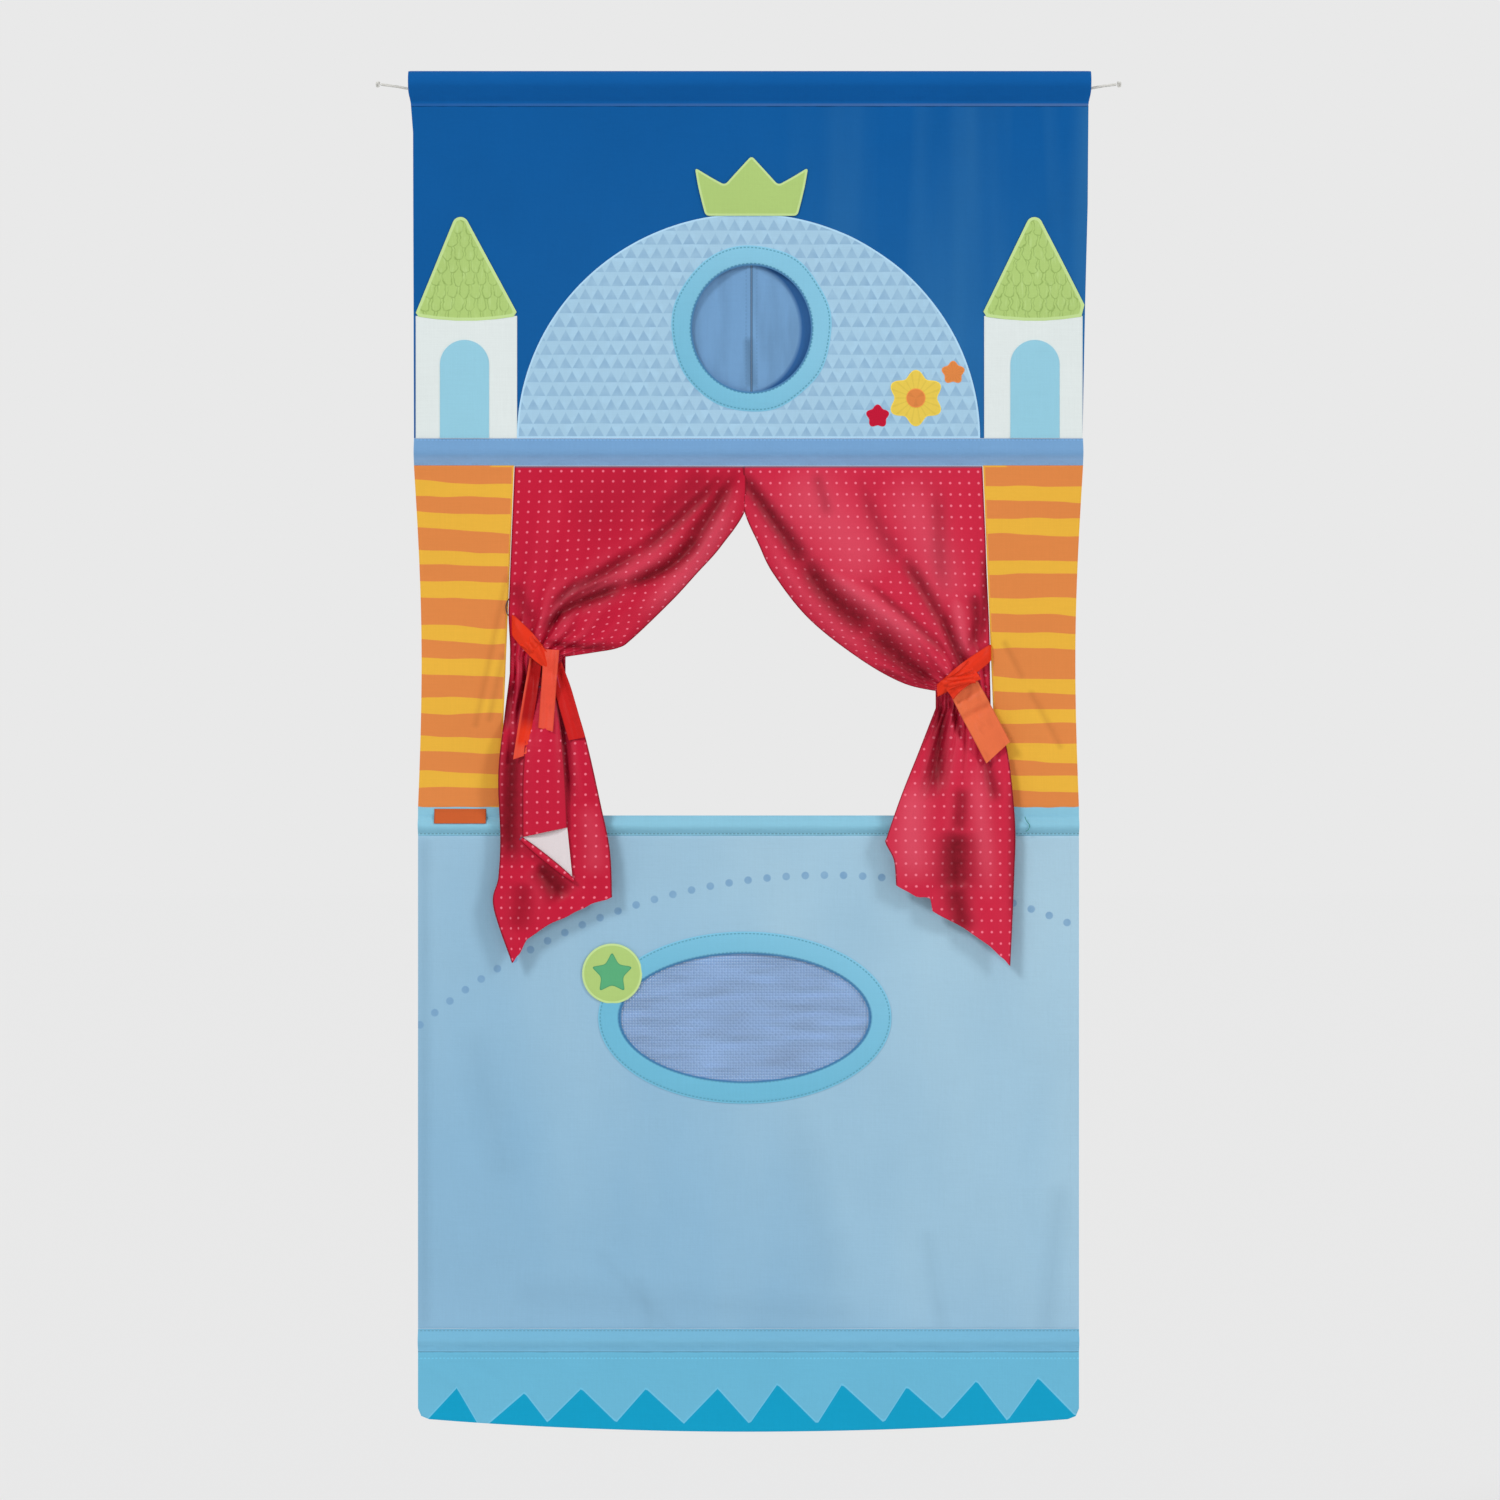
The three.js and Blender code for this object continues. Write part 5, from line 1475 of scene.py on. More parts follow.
right_curtain = Curtain(
    1, "right", 0.2467, 0.0602, 0.28, tie=(0.232, -0.654),
    edge=((1, 0), (1, 0.184), (0.937, 0.349), (0.875, 0.483), (0.729, 0.683), (0.521, 0.862), (0.354, 0.965)),
    tail_outer=((0, 0), (0.2, 0.09), (0.33, 0.2), (0.44, 0.45), (0.425, 0.65), (0.35, 1)),
    tail_inner=((1, 0), (1.31, 0.17), (1.63, 0.34), (1.89, 0.5), (1.92, 0.53), (1.77, 0.6), (1.73, 0.7)),
    hem=(
        (0, -0.003), (0.06, 0), (0.2, 0.004), (0.39, 0.0045), (0.68, 0.0002), (0.7, 0.0119), (0.84, 0.0037),
        (1, 0.0017),
    ),
    gap=neck_gap - 0.0022, dot_spacing=(0.905, 1.09),
    valleys=Folds((725, 455), (1035, 980), (
        (0.9, 1, 5, 9, (736, 462), (748, 483), (768, 511), (785, 534), (802, 559), (818, 582)),
        (1.1, 1, 8, 12, (790, 543), (808, 567), (824, 589), (843, 608), (866, 627), (886, 645)),
        (1.1, 1, 12, 10, (850, 614), (873, 633), (893, 651), (912, 668), (930, 680), (944, 690)),
        (0.3, 0.45, 6, 8, (858, 470), (869, 505), (880, 530), (893, 552), (908, 572)),
        (0.6, 0.8, 6, 6, (896, 550), (912, 572), (927, 595), (940, 617), (950, 640)),
        (0.9, 0.95, 5, 6, (930, 596), (943, 620), (952, 640), (962, 662), (972, 680)),
        (0.2, 0.4, 5, 5, (815, 470), (822, 495), (830, 520)),
        (0.2, 0.4, 7, 7, (936, 480), (939, 520), (940, 560), (946, 600)),
        (0.3, 0.6, 3, 4, (858, 575), (884, 598), (908, 618), (934, 642), (954, 664)),
        (0.6, 0.8, 4, 4, (984, 540), (986, 580), (983, 620), (978, 655)),
        (0.6, 0.85, 6, 5, (974, 590), (977, 620), (972, 655)),
        (-0.2, -0.55, 26, 26, (780, 465), (815, 505), (850, 545), (885, 590)),
        (-0.5, -0.7, 7, 8, (815, 560), (845, 585), (875, 607), (905, 630), (940, 658)),
        (-0.2, -0.5, 20, 16, (895, 470), (918, 520), (940, 570), (958, 615)),
        (-0.4, -0.6, 5, 6, (950, 590), (958, 615), (962, 640), (966, 662)),
        (-0.2, -0.35, 5, 7, (762, 530), (785, 568), (815, 605), (850, 638), (885, 660)),
        (0.4, 0.7, 4, 5, (870, 665), (895, 676), (920, 684), (938, 688)),
        (1.2, 1, 6, 9, (945, 688), (942, 715), (939, 745), (935, 775), (928, 805)),
        (0.7, 0.75, 4, 4, (949, 696), (956, 716), (962, 742)),
        (0.6, 0.65, 6, 6, (961, 785), (960, 810), (957, 838)),
        (1.2, 1, 12, 15, (957, 828), (955, 860), (956, 898)),
        (0.8, 0.9, 12, 8, (954, 875), (958, 908), (966, 938)),
        (0.5, 0.7, 5, 5, (984, 752), (990, 778), (997, 805)),
        (-0.3, -0.65, 12, 16, (918, 770), (912, 812), (912, 850), (920, 890)),
        (-0.3, -0.5, 8, 9, (976, 755), (979, 805), (984, 850), (990, 905)),
        (0.4, 0.6, 4, 4, (1012, 770), (1013, 840), (1012, 940)),
    )),
)


def satin_finish(context, name, colour, dot_strength, dot_spacing):
    """Satin with a lattice of small dots, and painted shade and highlights on its folds."""
    sizes, dyes = settings(context)
    finish = Finish(name, colour, roughness=0.46, sheen=0.0, satin=True)
    across_pitch, down_pitch = (sizes.dot_pitch * share for share in dot_spacing)
    across = ((finish.x / across_pitch).fract() - 0.5) * across_pitch
    down = ((finish.z / down_pitch).fract() - 0.5) * down_pitch
    gap = (across * across + down * down).maths("SQRT")
    # The fold map gives painted shade for the hollows and painted highlight for the crests
    dark, bright = finish.parts(add_node(finish.tree, "ShaderNodeUVMap", uv_map="fold"))
    shade = tuple(c * share for c, share in zip(colour, (0.24, 0.12, 0.14)))
    finish.lay(bright, dyes.satin_highlight)
    strength = finish.grain(60, 60) * 0.9 + dot_strength
    finish.lay(gap.below(sizes.dot, 0.0009) * strength, dyes.dots)
    finish.lay(dark * 0.85 * (finish.grain(130, 130, 3) * 0.5 + 0.75), shade)
    # Painted shade along the cloth's side edges, where they turn
    finish.lay(finish.edge.below(0.0022, 0.0014) * 0.7, shade)
    # Painted shadow of the ledge band along the curtain's top edge
    finish.lay((0.0 - finish.z).below(0.0024, 0.0012) * 0.7, toned(dyes.periwinkle, 0.3))
    return finish.done(0.1)


def make_curtains(context):
    sizes, dyes = settings(context)
    for curtain, colour, dots in ((left_curtain, dyes.red, 0.45), (right_curtain, dyes.red_sheen, 0.6)):
        satin = satin_finish(context, f"satin_finish_{curtain.name}", colour, dots, curtain.dot_spacing)
        drape_rows, neck_rows = (np.linspace(i, i + 1, n, endpoint=False) for i, n in ((0, 92), (1, 8)))
        rows = np.concatenate([drape_rows, neck_rows, np.linspace(2, 3, 110)])
        cloth = grid_cloth(
            f"curtain_cloth_{curtain.name}", curtain.point, 132, rows, sizes.cloth, satin,
            hangs=np.clip(rows - 1, 0, 1), tone=curtain.tone, first_wall=0.4,
        )
        hang_on_tail(
            cloth, curtain, "red_satin", f"curtain_{curtain.name}_drape", f"curtain_{curtain.name}_tail",
        )
        drop = curtain.height + neck_height + curtain.tail_height
        width = abs(curtain.outer(0) - curtain.meet)
        min(cloth["flat_area"], width * drop)
    make_turned_corner(context)


def hang_on_tail(piece, curtain, slot, *nodes):
    """A piece that hangs from the stage cloth at the curtain's tail."""
    span_joint(
        piece, slot, "stage_cloth", f"tail_{curtain.name}",
        curtain.tail_top, curtain.tail_top - tail_blend_height, *nodes,
    )


def make_turned_corner(context):
    """The left curtain's front pleat, whose corner is turned up and shows the lining."""
    sizes, dyes = settings(context)
    depth = left_curtain.tail_depth()
    satin = bpy.data.materials["satin_finish_left"]
    left_edge = ((-0.2405, -0.664), (-0.244, -0.715), (-0.2475, -0.768), (-0.2478, -0.8296))
    right_edge = ((-0.2135, -0.664), (-0.2055, -0.715), (-0.2005, -0.768), (-0.198, -0.819))

    def pleat_surface(u, v):
        a, b = spline(left_edge, v), spline(right_edge, v)
        x, z = lerp(a[0], b[0], u), lerp(a[1], b[1], u)
        bulge = sin(pi * min(max(u, 0.03), 0.97)) ** 0.6 * (0.0015 + 0.0036 * smooth(v / 0.5))
        crest = -0.0015 - 0.0014 * smooth(v / 0.3)
        return x, depth(lerp(-0.2405, -0.205, 0.35), z) * 0.5 + depth(x, z) * 0.5 + crest - bulge, z

    pleat = grid_cloth("curtain_pleat", pleat_surface, 26, np.linspace(0, 1, 60), sizes.cloth, satin)
    hang_on_tail(pleat, left_curtain, "red_satin")

    lining = Finish("lining_finish", dyes.lining, roughness=0.5, sheen=0.02, satin=True)
    lining.raise_by(lining.grain(120, 20) * 0.0006)
    lining_material = lining.done(0.1)
    corner = [(-0.2484, -0.8285), (-0.193, -0.873), (-0.1988, -0.8165)]
    turned = flat_cloth(
        "curtain_lining", corner, lining_material, lambda x, z: depth(x, z) - 0.0034, sizes.cloth,
        spacing=0.003,
    )
    hang_on_tail(turned, left_curtain, "red_satin")

    start, end, width = Vector((-0.25, -0.8305)), Vector((-0.1915, -0.8775)), 0.0075
    along = (end - start).normalized()
    across = Vector((-along.y, along.x))

    def rim_surface(u, v):
        thin = 0.35 + 0.65 * sin(pi * min(max(v, 0.02), 0.98)) ** 0.5
        place = start.lerp(end, v) + across * (u - 0.5) * width * thin
        roll = 0.0026 * sin(pi * u)
        return place.x, depth(place.x, place.y) - 0.0046 - roll, place.y

    rim = grid_cloth("curtain_rim", rim_surface, 8, np.linspace(0, 1, 40), sizes.cloth, satin)
    hang_on_tail(rim, left_curtain, "red_satin")

    spot = [(0.2015, -0.8975), (0.2032, -0.9125), (0.2125, -0.9065)]
    right_depth = right_curtain.tail_depth()
    fleck = flat_cloth(
        "curtain_fleck", spot, lining_material, lambda x, z: right_depth(x, z) + 0.0012, sizes.cloth,
        spacing=0.003,
    )
    hang_on_tail(fleck, right_curtain, "red_satin")


def ribbon_finish(name, colour):
    finish = Finish(name, colour, roughness=0.46, sheen=0.02, satin=True)
    finish.raise_by(finish.grain(700, 20, 1) * 0.0002)
    finish.lay((finish.grain(90, 40) - 0.55).clamped(4.0) * 0.3, toned(colour, 0.6))
    finish.lay(finish.edge.below(0.0011, 0.0006), toned(colour, 0.78))
    return finish.done(0.12)


def twisted_ribbon_finish(dyes):
    """A ribbon end that lies in the shade at its top and turns to the light at its left edge and its tip."""
    finish = Finish("ribbon_twisted_finish", dyes.ribbon_deep, roughness=0.46, sheen=0.02, satin=True)
    finish.lay((finish.z + 0.066).below(0.0, 0.016), dyes.ribbon)
    finish.lay(finish.x.below(0.003, 0.0016) * 0.8, dyes.ribbon_pale)
    finish.lay((finish.z + 0.094).below(0.0, 0.008), dyes.ribbon_pale)
    return finish.done(0.12)


def make_ribbons(context):
    sizes, dyes = settings(context)
    bright = ribbon_finish("ribbon_finish", dyes.ribbon)
    shaded = ribbon_finish("ribbon_shade_finish", dyes.ribbon_shade)
    pale = ribbon_finish("ribbon_pale_finish", dyes.ribbon_pale)
    wide = ribbon_finish("ribbon_wide_finish", dyes.ribbon_wide)
    twisted = twisted_ribbon_finish(dyes)
    for curtain, outer, inner, width in (
        (left_curtain, (-0.26, -0.5965), (-0.218, -0.6395), 0.0285),
        (right_curtain, (0.2665, -0.627), (0.2075, -0.669), 0.0225),
    ):
        loop = ribbon_loop(curtain, outer, inner, width, sizes.ribbon, bright)
        wear(loop, "ribbon", "stage_cloth", f"ribbon_{curtain.name}_loop")

    ends = (
        (left_curtain, "outer_end", (-0.2335, -0.634), (-0.25, -0.742), 0.014, 0.015, twisted, 0.0035, -0.5),
        (left_curtain, "inner_end", (-0.212, -0.64), (-0.188, -0.722), 0.015, 0.0185, shaded, 0.001, 0.1),
        (left_curtain, "middle_end", (-0.2165, -0.624), (-0.2222, -0.712), 0.0175, 0.0165, pale, 0.006, 0.2),
        (right_curtain, "wide_end", (0.2303, -0.654), (0.2739, -0.737), 0.0325, 0.0345, wide, 0.0045, -0.27),
    )
    for curtain, name, start, end, top_width, end_width, material, proud, slant in ends:
        piece = ribbon_end(curtain, name, start, end, top_width, end_width, material, proud, slant)
        hang_on_tail(piece, curtain, "ribbon", f"ribbon_{curtain.name}_{name}")
        drop = hypot(end[0] - start[0], end[1] - start[1])
    for curtain, centre, turns in (
        (left_curtain, (-0.2385, -0.619), ((-0.78, 0.0185, 0.0085, 0.0118),)),
        (right_curtain, (0.233, -0.6575), ((0.62, 0.025, 0.019, 0.0128), (0.25, 0.015, 0.015, 0.015))),
    ):
        make_knot(context, curtain, centre, turns, bright)


def ribbon_loop(curtain, outer, inner, width, thickness, material):
    """The ribbon round the neck: over its front on a slant, and back behind it."""
    outer, inner = np.array(outer), np.array(inner)
    centre, half = (outer + inner) / 2, (outer - inner) / 2

    def surface(u, v):
        angle = 2 * pi * v
        place = centre + half * cos(angle)
        pinch = 1 - 0.22 * smooth(-cos(angle))
        front = sin(angle)
        crumple = ribbon_crumple * sin(5 * angle + 7 * u) * smooth(-cos(angle) + 0.4)
        y = -neck_depth - loop_reach * front - crumple + 0.0014 * cos(2 * pi * u) * front
        return place[0], y, place[1] + (u - 0.5) * width * pinch * (0.75 + 0.25 * abs(front))

    return grid_cloth(
        f"ribbon_loop_{curtain.name}", surface, 10, np.linspace(0, 0.9985, 110), thickness, material,
    )


def ribbon_end(curtain, name, start, end, top_width, end_width, material, proud, slant):
    """A ribbon end that hangs from the tie in front of the curtain."""
    depth = curtain.tail_depth()
    start, end = Vector(start), Vector(end)
    along = (end - start).normalized()
    across = Vector((-along.y, along.x))
    drop = (end - start).length

    def surface(u, v):
        width = lerp(top_width, end_width, smooth(v / 0.4))
        cut_end = slant * (u - 0.5) * end_width * smooth((v - 0.6) / 0.4)
        place = start + along * (v * drop + cut_end) + across * (u - 0.5) * width
        line = start + along * v * drop
        curl = ribbon_crumple * sin(2 * pi * (u + 0.25)) + 0.0016 * sin(7 * v) * (u - 0.5)
        base = depth(line.x, line.y) * 0.7 + depth(place.x, place.y) * 0.3
        return place.x, base - 0.0022 - proud * smooth(v / 0.3 + 0.5) - curl, place.y

    return grid_cloth(
        f"ribbon_{name}_{curtain.name}", surface, 12, np.linspace(0, 1, 44),
        bpy.context.scene.theatre_sizes.ribbon, material,
    )


def make_knot(context, curtain, centre, turns, material):
    """The tie's flat knot, in turns of crumpled ribbon over each other."""
    for index, (lean, width, half, forward) in enumerate(turns):
        along = Vector((cos(lean), sin(lean)))
        across = Vector((-along.y, along.x))

        def surface(u, v):
            place = along * (2 * v - 1) * half + across * (u - 0.5) * width * (0.75 + 0.25 * (2 * v - 1) ** 2)
            arch = (1 - (2 * v - 1) ** 2) * 0.004
            folds = 0.0009 * cos(2 * pi * 2.5 * u + index + 3 * v)
            folds += 0.0012 * wander(place.x, place.y, 0.006, 40.0 + index)
            return centre[0] + place.x, -neck_depth - forward + 0.003 - arch - folds, centre[1] + place.y

        turn = grid_cloth(
            f"ribbon_knot_{curtain.name}_{index + 1}", surface, 14, np.linspace(0, 1, 24),
            context.scene.theatre_sizes.ribbon, material,
        )
        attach(turn, "stage_cloth")
        2 * half


def make_stage_edge(context):
    sizes, dyes = settings(context)
    low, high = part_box("stage_band")
    finish = Finish("stage_edge_finish", dyes.stage)
    deep = toned(dyes.stage, 0.62)
    finish.stitches(finish.x, finish.z - (low.z + 0.0022), deep)
    finish.raise_by(finish.grain(50, 120, 3, 1) * 0.0006)
    material = finish.done()
    make_tunnel(
        context, "stage_edge_cloth", "stage_band", material, "cyan_cloth", "lower_cloth", stage_half, 21.0,
        wrinkle=0.0005,
    )
    for sign, side in both_sides:
        inner = stage_half - ear_length
        top = high.z + 0.0022
        outline = [
            (sign * inner, low.z + ear_start), (sign * stage_half, low.z + ear_start),
            (sign * stage_half, top), (sign * inner, top),
        ]
        if sign < 0:
            outline.reverse()
        ear = flat_cloth(
            f"stage_ear_{side}", outline, material, lambda x, z: -0.0001 + 0.0004 * wander(x, z, 0.02, 9.0),
            sizes.cloth, spacing=0.003,
        )
        span_joint(
            ear, "cyan_cloth", "stage_cloth", "lower_cloth", high.z + 0.0018, high.z - 0.0008, "stage_band",
        )

    low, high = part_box("seam_tab")
    tab = Finish("tab_finish", dyes.tab)
    tab.lay(tab.edge.below(0.0016, 0.0008), toned(dyes.tab, 0.75))

    def surface(u, v):
        fall = v * (high.z - low.z)
        forward = max(fall - 0.0035, 0.0) / (high.z - low.z - 0.0035) * (high.y - low.y - sizes.patch)
        return lerp(low.x, high.x, u), high.y - sizes.patch / 2 - forward, high.z - fall

    piece = grid_cloth("seam_tab_cloth", surface, 40, np.linspace(0, 1, 16), sizes.patch, tab.done(), True)
    wear(piece, "orange_cloth", "lower_cloth", "seam_tab")


def make_lower_panel(context):
    sizes, dyes = settings(context)
    low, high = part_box("lower_panel")
    finish = Finish("panel_finish", dyes.panel)
    # Painted light: a pale haze towards the upper right
    light_haze = finish.x * 0.87 + finish.z * 1.27 + (finish.grain(6, 2, 3) - 0.5) * 0.9 + 1.815
    finish.lay(light_haze.clamped(), dyes.panel_lit)
    shade = toned(dyes.panel, 0.6)
    for start, end, width, strength in (
        ((-0.16, -1.29), (-0.088, -1.366), 0.014, 0.1), ((0.196, -1.27), (0.213, -1.366), 0.013, 0.12),
        ((0.342, -1.225), (0.328, -1.366), 0.018, 0.16), ((-0.118, -1.318), (-0.108, -1.366), 0.009, 0.1),
        ((-0.3, -1.06), (-0.27, -1.19), 0.03, 0.14), ((-0.24, -1.33), (0.1, -1.356), 0.026, 0.12),
        ((0.05, -1.14), (0.09, -1.3), 0.03, 0.1), ((-0.357, -0.84), (-0.357, -1.36), 0.012, 0.22),
    ):
        finish.mark(start, end, width, strength, shade)
    across, up = finish.x - arc_x, finish.z - arc_z
    reach = (across * across + up * up).maths("SQRT")
    turn = add_node(finish.tree, "ShaderNodeMath", {0: across, 1: up}, operation="ARCTAN2")
    step = ((turn * arc_radius + arc_phase) / arc_pitch + 0.5).fract() - 0.5
    along = step * arc_pitch
    gap = ((reach - arc_radius) * (reach - arc_radius) + along * along).maths("SQRT")
    strength = finish.grain(90, 90) * 0.6 + 0.45
    finish.lay(gap.below(arc_dot_radius, 0.0011) * strength, dyes.panel_print)
    hem_line = (finish.x.absolute() - (stage_half - 0.0095)).absolute()
    finish.raise_by(hem_line.below(0.0009, 0.0008) * -0.0003)
    hole = ring_points(oval_x, oval_z, oval_half_width, oval_half_height, 120)
    panel = flat_cloth(
        "lower_cloth_panel", oblong(low, high), finish.done(0.1), lower_depth, sizes.cloth, holes=[hole],
        hem=0.01,
    )
    wear(panel, "panel_cloth", "lower_cloth", "lower_panel")

    low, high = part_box("oval_window_frame")
    across, up = (high.x - low.x) / 2, (high.z - low.z) / 2
    frame_outline = ring_points(oval_x, oval_z, across, up, 140)
    binding = binding_finish("oval_finish", dyes, (oval_x, oval_z), (oval_half_width, oval_half_height), 0.2)
    mean = pi * (across + up - oval_band) * 1.03
    sew_patch(
        "oval_window_binding", frame_outline, binding, 1, "cyan_cloth", "oval_window_frame",
        body="lower_cloth", puff=0.0011, spacing=0.0032,
        holes=[ring_points(oval_x, oval_z, oval_half_width - 0.0005, oval_half_height - 0.0005, 120)],
        flat=(oval_band, mean),
    )
    low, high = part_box("badge_disc")
    centre, radius = (low + high) / 2, (high.x - low.x) / 2
    badge = ring_points(centre.x, centre.z, radius, radius, 60)
    sew_patch(
        "badge_cloth", badge, bpy.data.materials["lime_finish"], 2.3, "lime_cloth", "badge_disc",
        body="lower_cloth", puff=0.0006, spacing=0.0028,
    )
    low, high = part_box("badge_star")
    star = Finish("star_finish", dyes.green)
    star.lay(star.edge.below(0.0011, 0.0006), toned(dyes.green, 0.78))
    reach = high.z - centre.z
    points = []
    for i in range(10):
        radius, angle = reach * (0.52 if i % 2 else 1.0), pi * i / 5
        points.append((centre.x - radius * sin(angle), centre.z + radius * cos(angle)))
    sew_patch(
        "star_cloth", rounded(points, 0.004), star.done(), 3.3, "green_cloth", "badge_star",
        body="lower_cloth", spacing=0.0022,
    )


def make_net(context):
    dyes = context.scene.theatre_colours
    material, tree, shader = new_material("net_finish")
    shader.inputs["Roughness"].default_value = 0.6
    cut = add_node(tree, "ShaderNodeUVMap", uv_map="cut")
    streaks = mottling(tree, stretched(tree, cut, 14.0, 90.0, 1.0), 1.0, 3.0)
    stops = [(0.3, toned(dyes.net, 0.84)), (0.7, toned(dyes.net, 1.25))]
    ramp = add_node(tree, "ShaderNodeValToRGB", {"Fac": streaks}, interpolation="LINEAR", stops=stops)
    feed(shader, "Base Color", ramp)
    half_width, half_height = oval_half_width + net_margin, oval_half_height + net_margin
    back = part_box("oval_window_net")[0].y + 0.0004
    vertices, faces, maps = [], [], []

    def strand(fixed, upright, phase):
        across, up = (half_height, half_width) if upright else (half_width, half_height)
        reach = across * sqrt(max(1 - (fixed / up) ** 2, 0.0)) - 0.001
        if reach < 0.004:
            return
        steps = max(2, round(2 * reach / net_pitch))
        base = len(vertices)
        for i in range(steps + 1):
            place = -reach + 2 * reach * i / steps
            over = 0.00022 * (1 if (i + phase) % 2 else -1)
            for side, depth in ((-0.5, 0.0), (0.0, -0.0003), (0.5, 0.0), (0.0, 0.0003)):
                offset = fixed + side * net_strand
                x, z = (offset, place) if upright else (place, offset)
                x, z = x + oval_x, z + oval_z
                sag = 0.0007 * wander(x, z * 3, 0.05, 15.0)
                vertices.append((x, back + over + depth + sag, z))
                maps.append((x, z))
        for i in range(steps):
            for side in range(4):
                a, b = base + 4 * i + side, base + 4 * i + (side + 1) % 4
                face = (a, b, b + 4, a + 4)
                faces.append(face if not upright else face[::-1])
        first, last = (base, base + 1, base + 2, base + 3), tuple(base + 4 * steps + i for i in (3, 2, 1, 0))
        faces.extend([first[::-1], last[::-1]] if not upright else [first, last])

    count = int(half_width / net_pitch)
    for i in range(-count, count + 1):
        strand(i * net_pitch, True, i)
    count = int(half_height / net_pitch)
    for i in range(-count, count + 1):
        strand(i * net_pitch, False, i + 1)
    mesh = bpy.data.meshes.new("net")
    mesh.from_pydata(vertices, [], faces)
    lay_out(mesh, maps)
    net = add_piece("net_cloth", mesh, material, smoothed=False)
    wear(net, "net", "lower_cloth", "oval_window_net")


def make_bottom(context):
    sizes, dyes = settings(context)
    low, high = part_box("bottom_band")
    finish = Finish("bottom_finish", dyes.band)
    finish.stitches(finish.x, finish.z - (high.z - 0.002), toned(dyes.band, 0.75))
    # Painted light: the band's lower half paler, against the shade under the rod's bulge
    finish.lay((finish.z - (low.z + 0.0115)).below(0.0, 0.006) * 0.6, toned(dyes.band, 1.22))
    # A dark line at the lower seam: partly the seam, partly a painted shadow under the band's bulge
    finish.lay((finish.z - (low.z + 0.0022)).below(0.0, 0.001) * 0.75, toned(dyes.band, 0.42))
    finish.raise_by(finish.grain(50, 120, 3, 1) * 0.0006)
    make_tunnel(
        context, "bottom_band_cloth", "bottom_band", finish.done(), "cyan_cloth", "lower_cloth",
        stage_half, 31.0,
    )

    low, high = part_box("valance")
    valance = Finish("valance_finish", dyes.valance)
    turns = (
        (424, 0), (457, 1), (481, -0.15), (486, -0.08), (525, 0.86), (548, 0.03), (582, 0.98), (617, 0.02),
        (647, 0.98), (685, -0.01), (719, 0.98), (751, -0.02), (779, 1.1), (819, -0.02), (844, 1.1),
        (886, 0.02),
        (909, 1.03), (945, 0.13), (979, 1.2), (1010, 0.07), (1041, 1.28), (1078, 0.22),
    )
    stops = [((x - 418) / 664, 0.25 + height * 0.5) for x, height in turns]
    share = (valance.x - low.x) / (high.x - low.x)
    ramp = add_node(valance.tree, "ShaderNodeValToRGB", {"Fac": share}, interpolation="LINEAR", stops=stops)
    level = low.z + 0.0095
    line = (ramp - 0.25) * 0.078 + level
    valance.lay((valance.z - line).below(0.0022, 0.0006), toned(dyes.valance, 1.12))
    valance.lay((valance.z - line).below(0.0, 0.0007), dyes.valance_print)
    valance.stitches(valance.x, valance.z - (high.z - 0.005), toned(dyes.valance, 1.2))
    half, bow, corner = stage_half, 0.014, 0.012
    side = low.z + bow
    steps = 40
    outline = [(-half, high.z + 0.002), (-half, side + corner), (-half + 0.0035, side + 0.0035)]
    for i in range(steps + 1):
        at = 2 * i / steps - 1
        outline.append((at * (half - corner), side - bow * (1 - at * at)))
    outline += [(half - 0.0035, side + 0.0035), (half, side + corner), (half, high.z + 0.002)]

    def depth(x, z):
        fall = (high.z - z) / (high.z - low.z)
        hang = 0.0016 * smooth(fall) * wander(x, z * 0.5, 0.16, 12.0)
        folds = crease(x, z, (-0.36, -1.405), (-0.31, -1.44), -0.0012, 0.006)
        folds += crease(x, z, (-0.32, -1.401), (-0.27, -1.43), 0.0011, 0.005)
        return hang + folds + 0.0004 * wander(x, z * 0.2, 0.012, 13.0) * exp(-abs(fall) * 9)

    cloth = flat_cloth(
        "valance_cloth_piece", outline, valance.done(0.08), depth, sizes.cloth, hem=0.006, spacing=0.0045,
    )
    span_joint(
        cloth, "valance_cloth", "lower_cloth", "valance_cloth", high.z + 0.0016, high.z - 0.0008, "valance",
    )


def make_threads(context):
    dark = plain_finish("dark_thread_finish", (0.05, 0.03, 0.04), 0.7, 0.0, 900.0)
    green = plain_finish("green_thread_finish", (0.03, 0.24, 0.2), 0.7, 0.0, 900.0)
    loop = [
        (-0.2625, -0.567), (-0.2652, -0.571), (-0.2668, -0.577), (-0.2655, -0.584), (-0.2625, -0.588),
        (-0.261, -0.592),
    ]
    squiggle = [(0.3035, -0.8075), (0.3055, -0.8125), (0.3085, -0.8165), (0.3075, -0.8215), (0.3045, -0.8235)]
    for name, route, y, radius, material, body, slot in (
        ("thread_loop", loop, -0.0012, 0.0006, dark, "stage_cloth", "red_satin"),
        ("thread_end", squiggle, -0.0075, 0.0004, green, "lower_cloth", "green_cloth"),
    ):
        path = [(x, y, z) for x, z in (spline(route, i / 30) for i in range(31))]
        piece = tube(name, path, radius, material, 8)
        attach(piece, body)


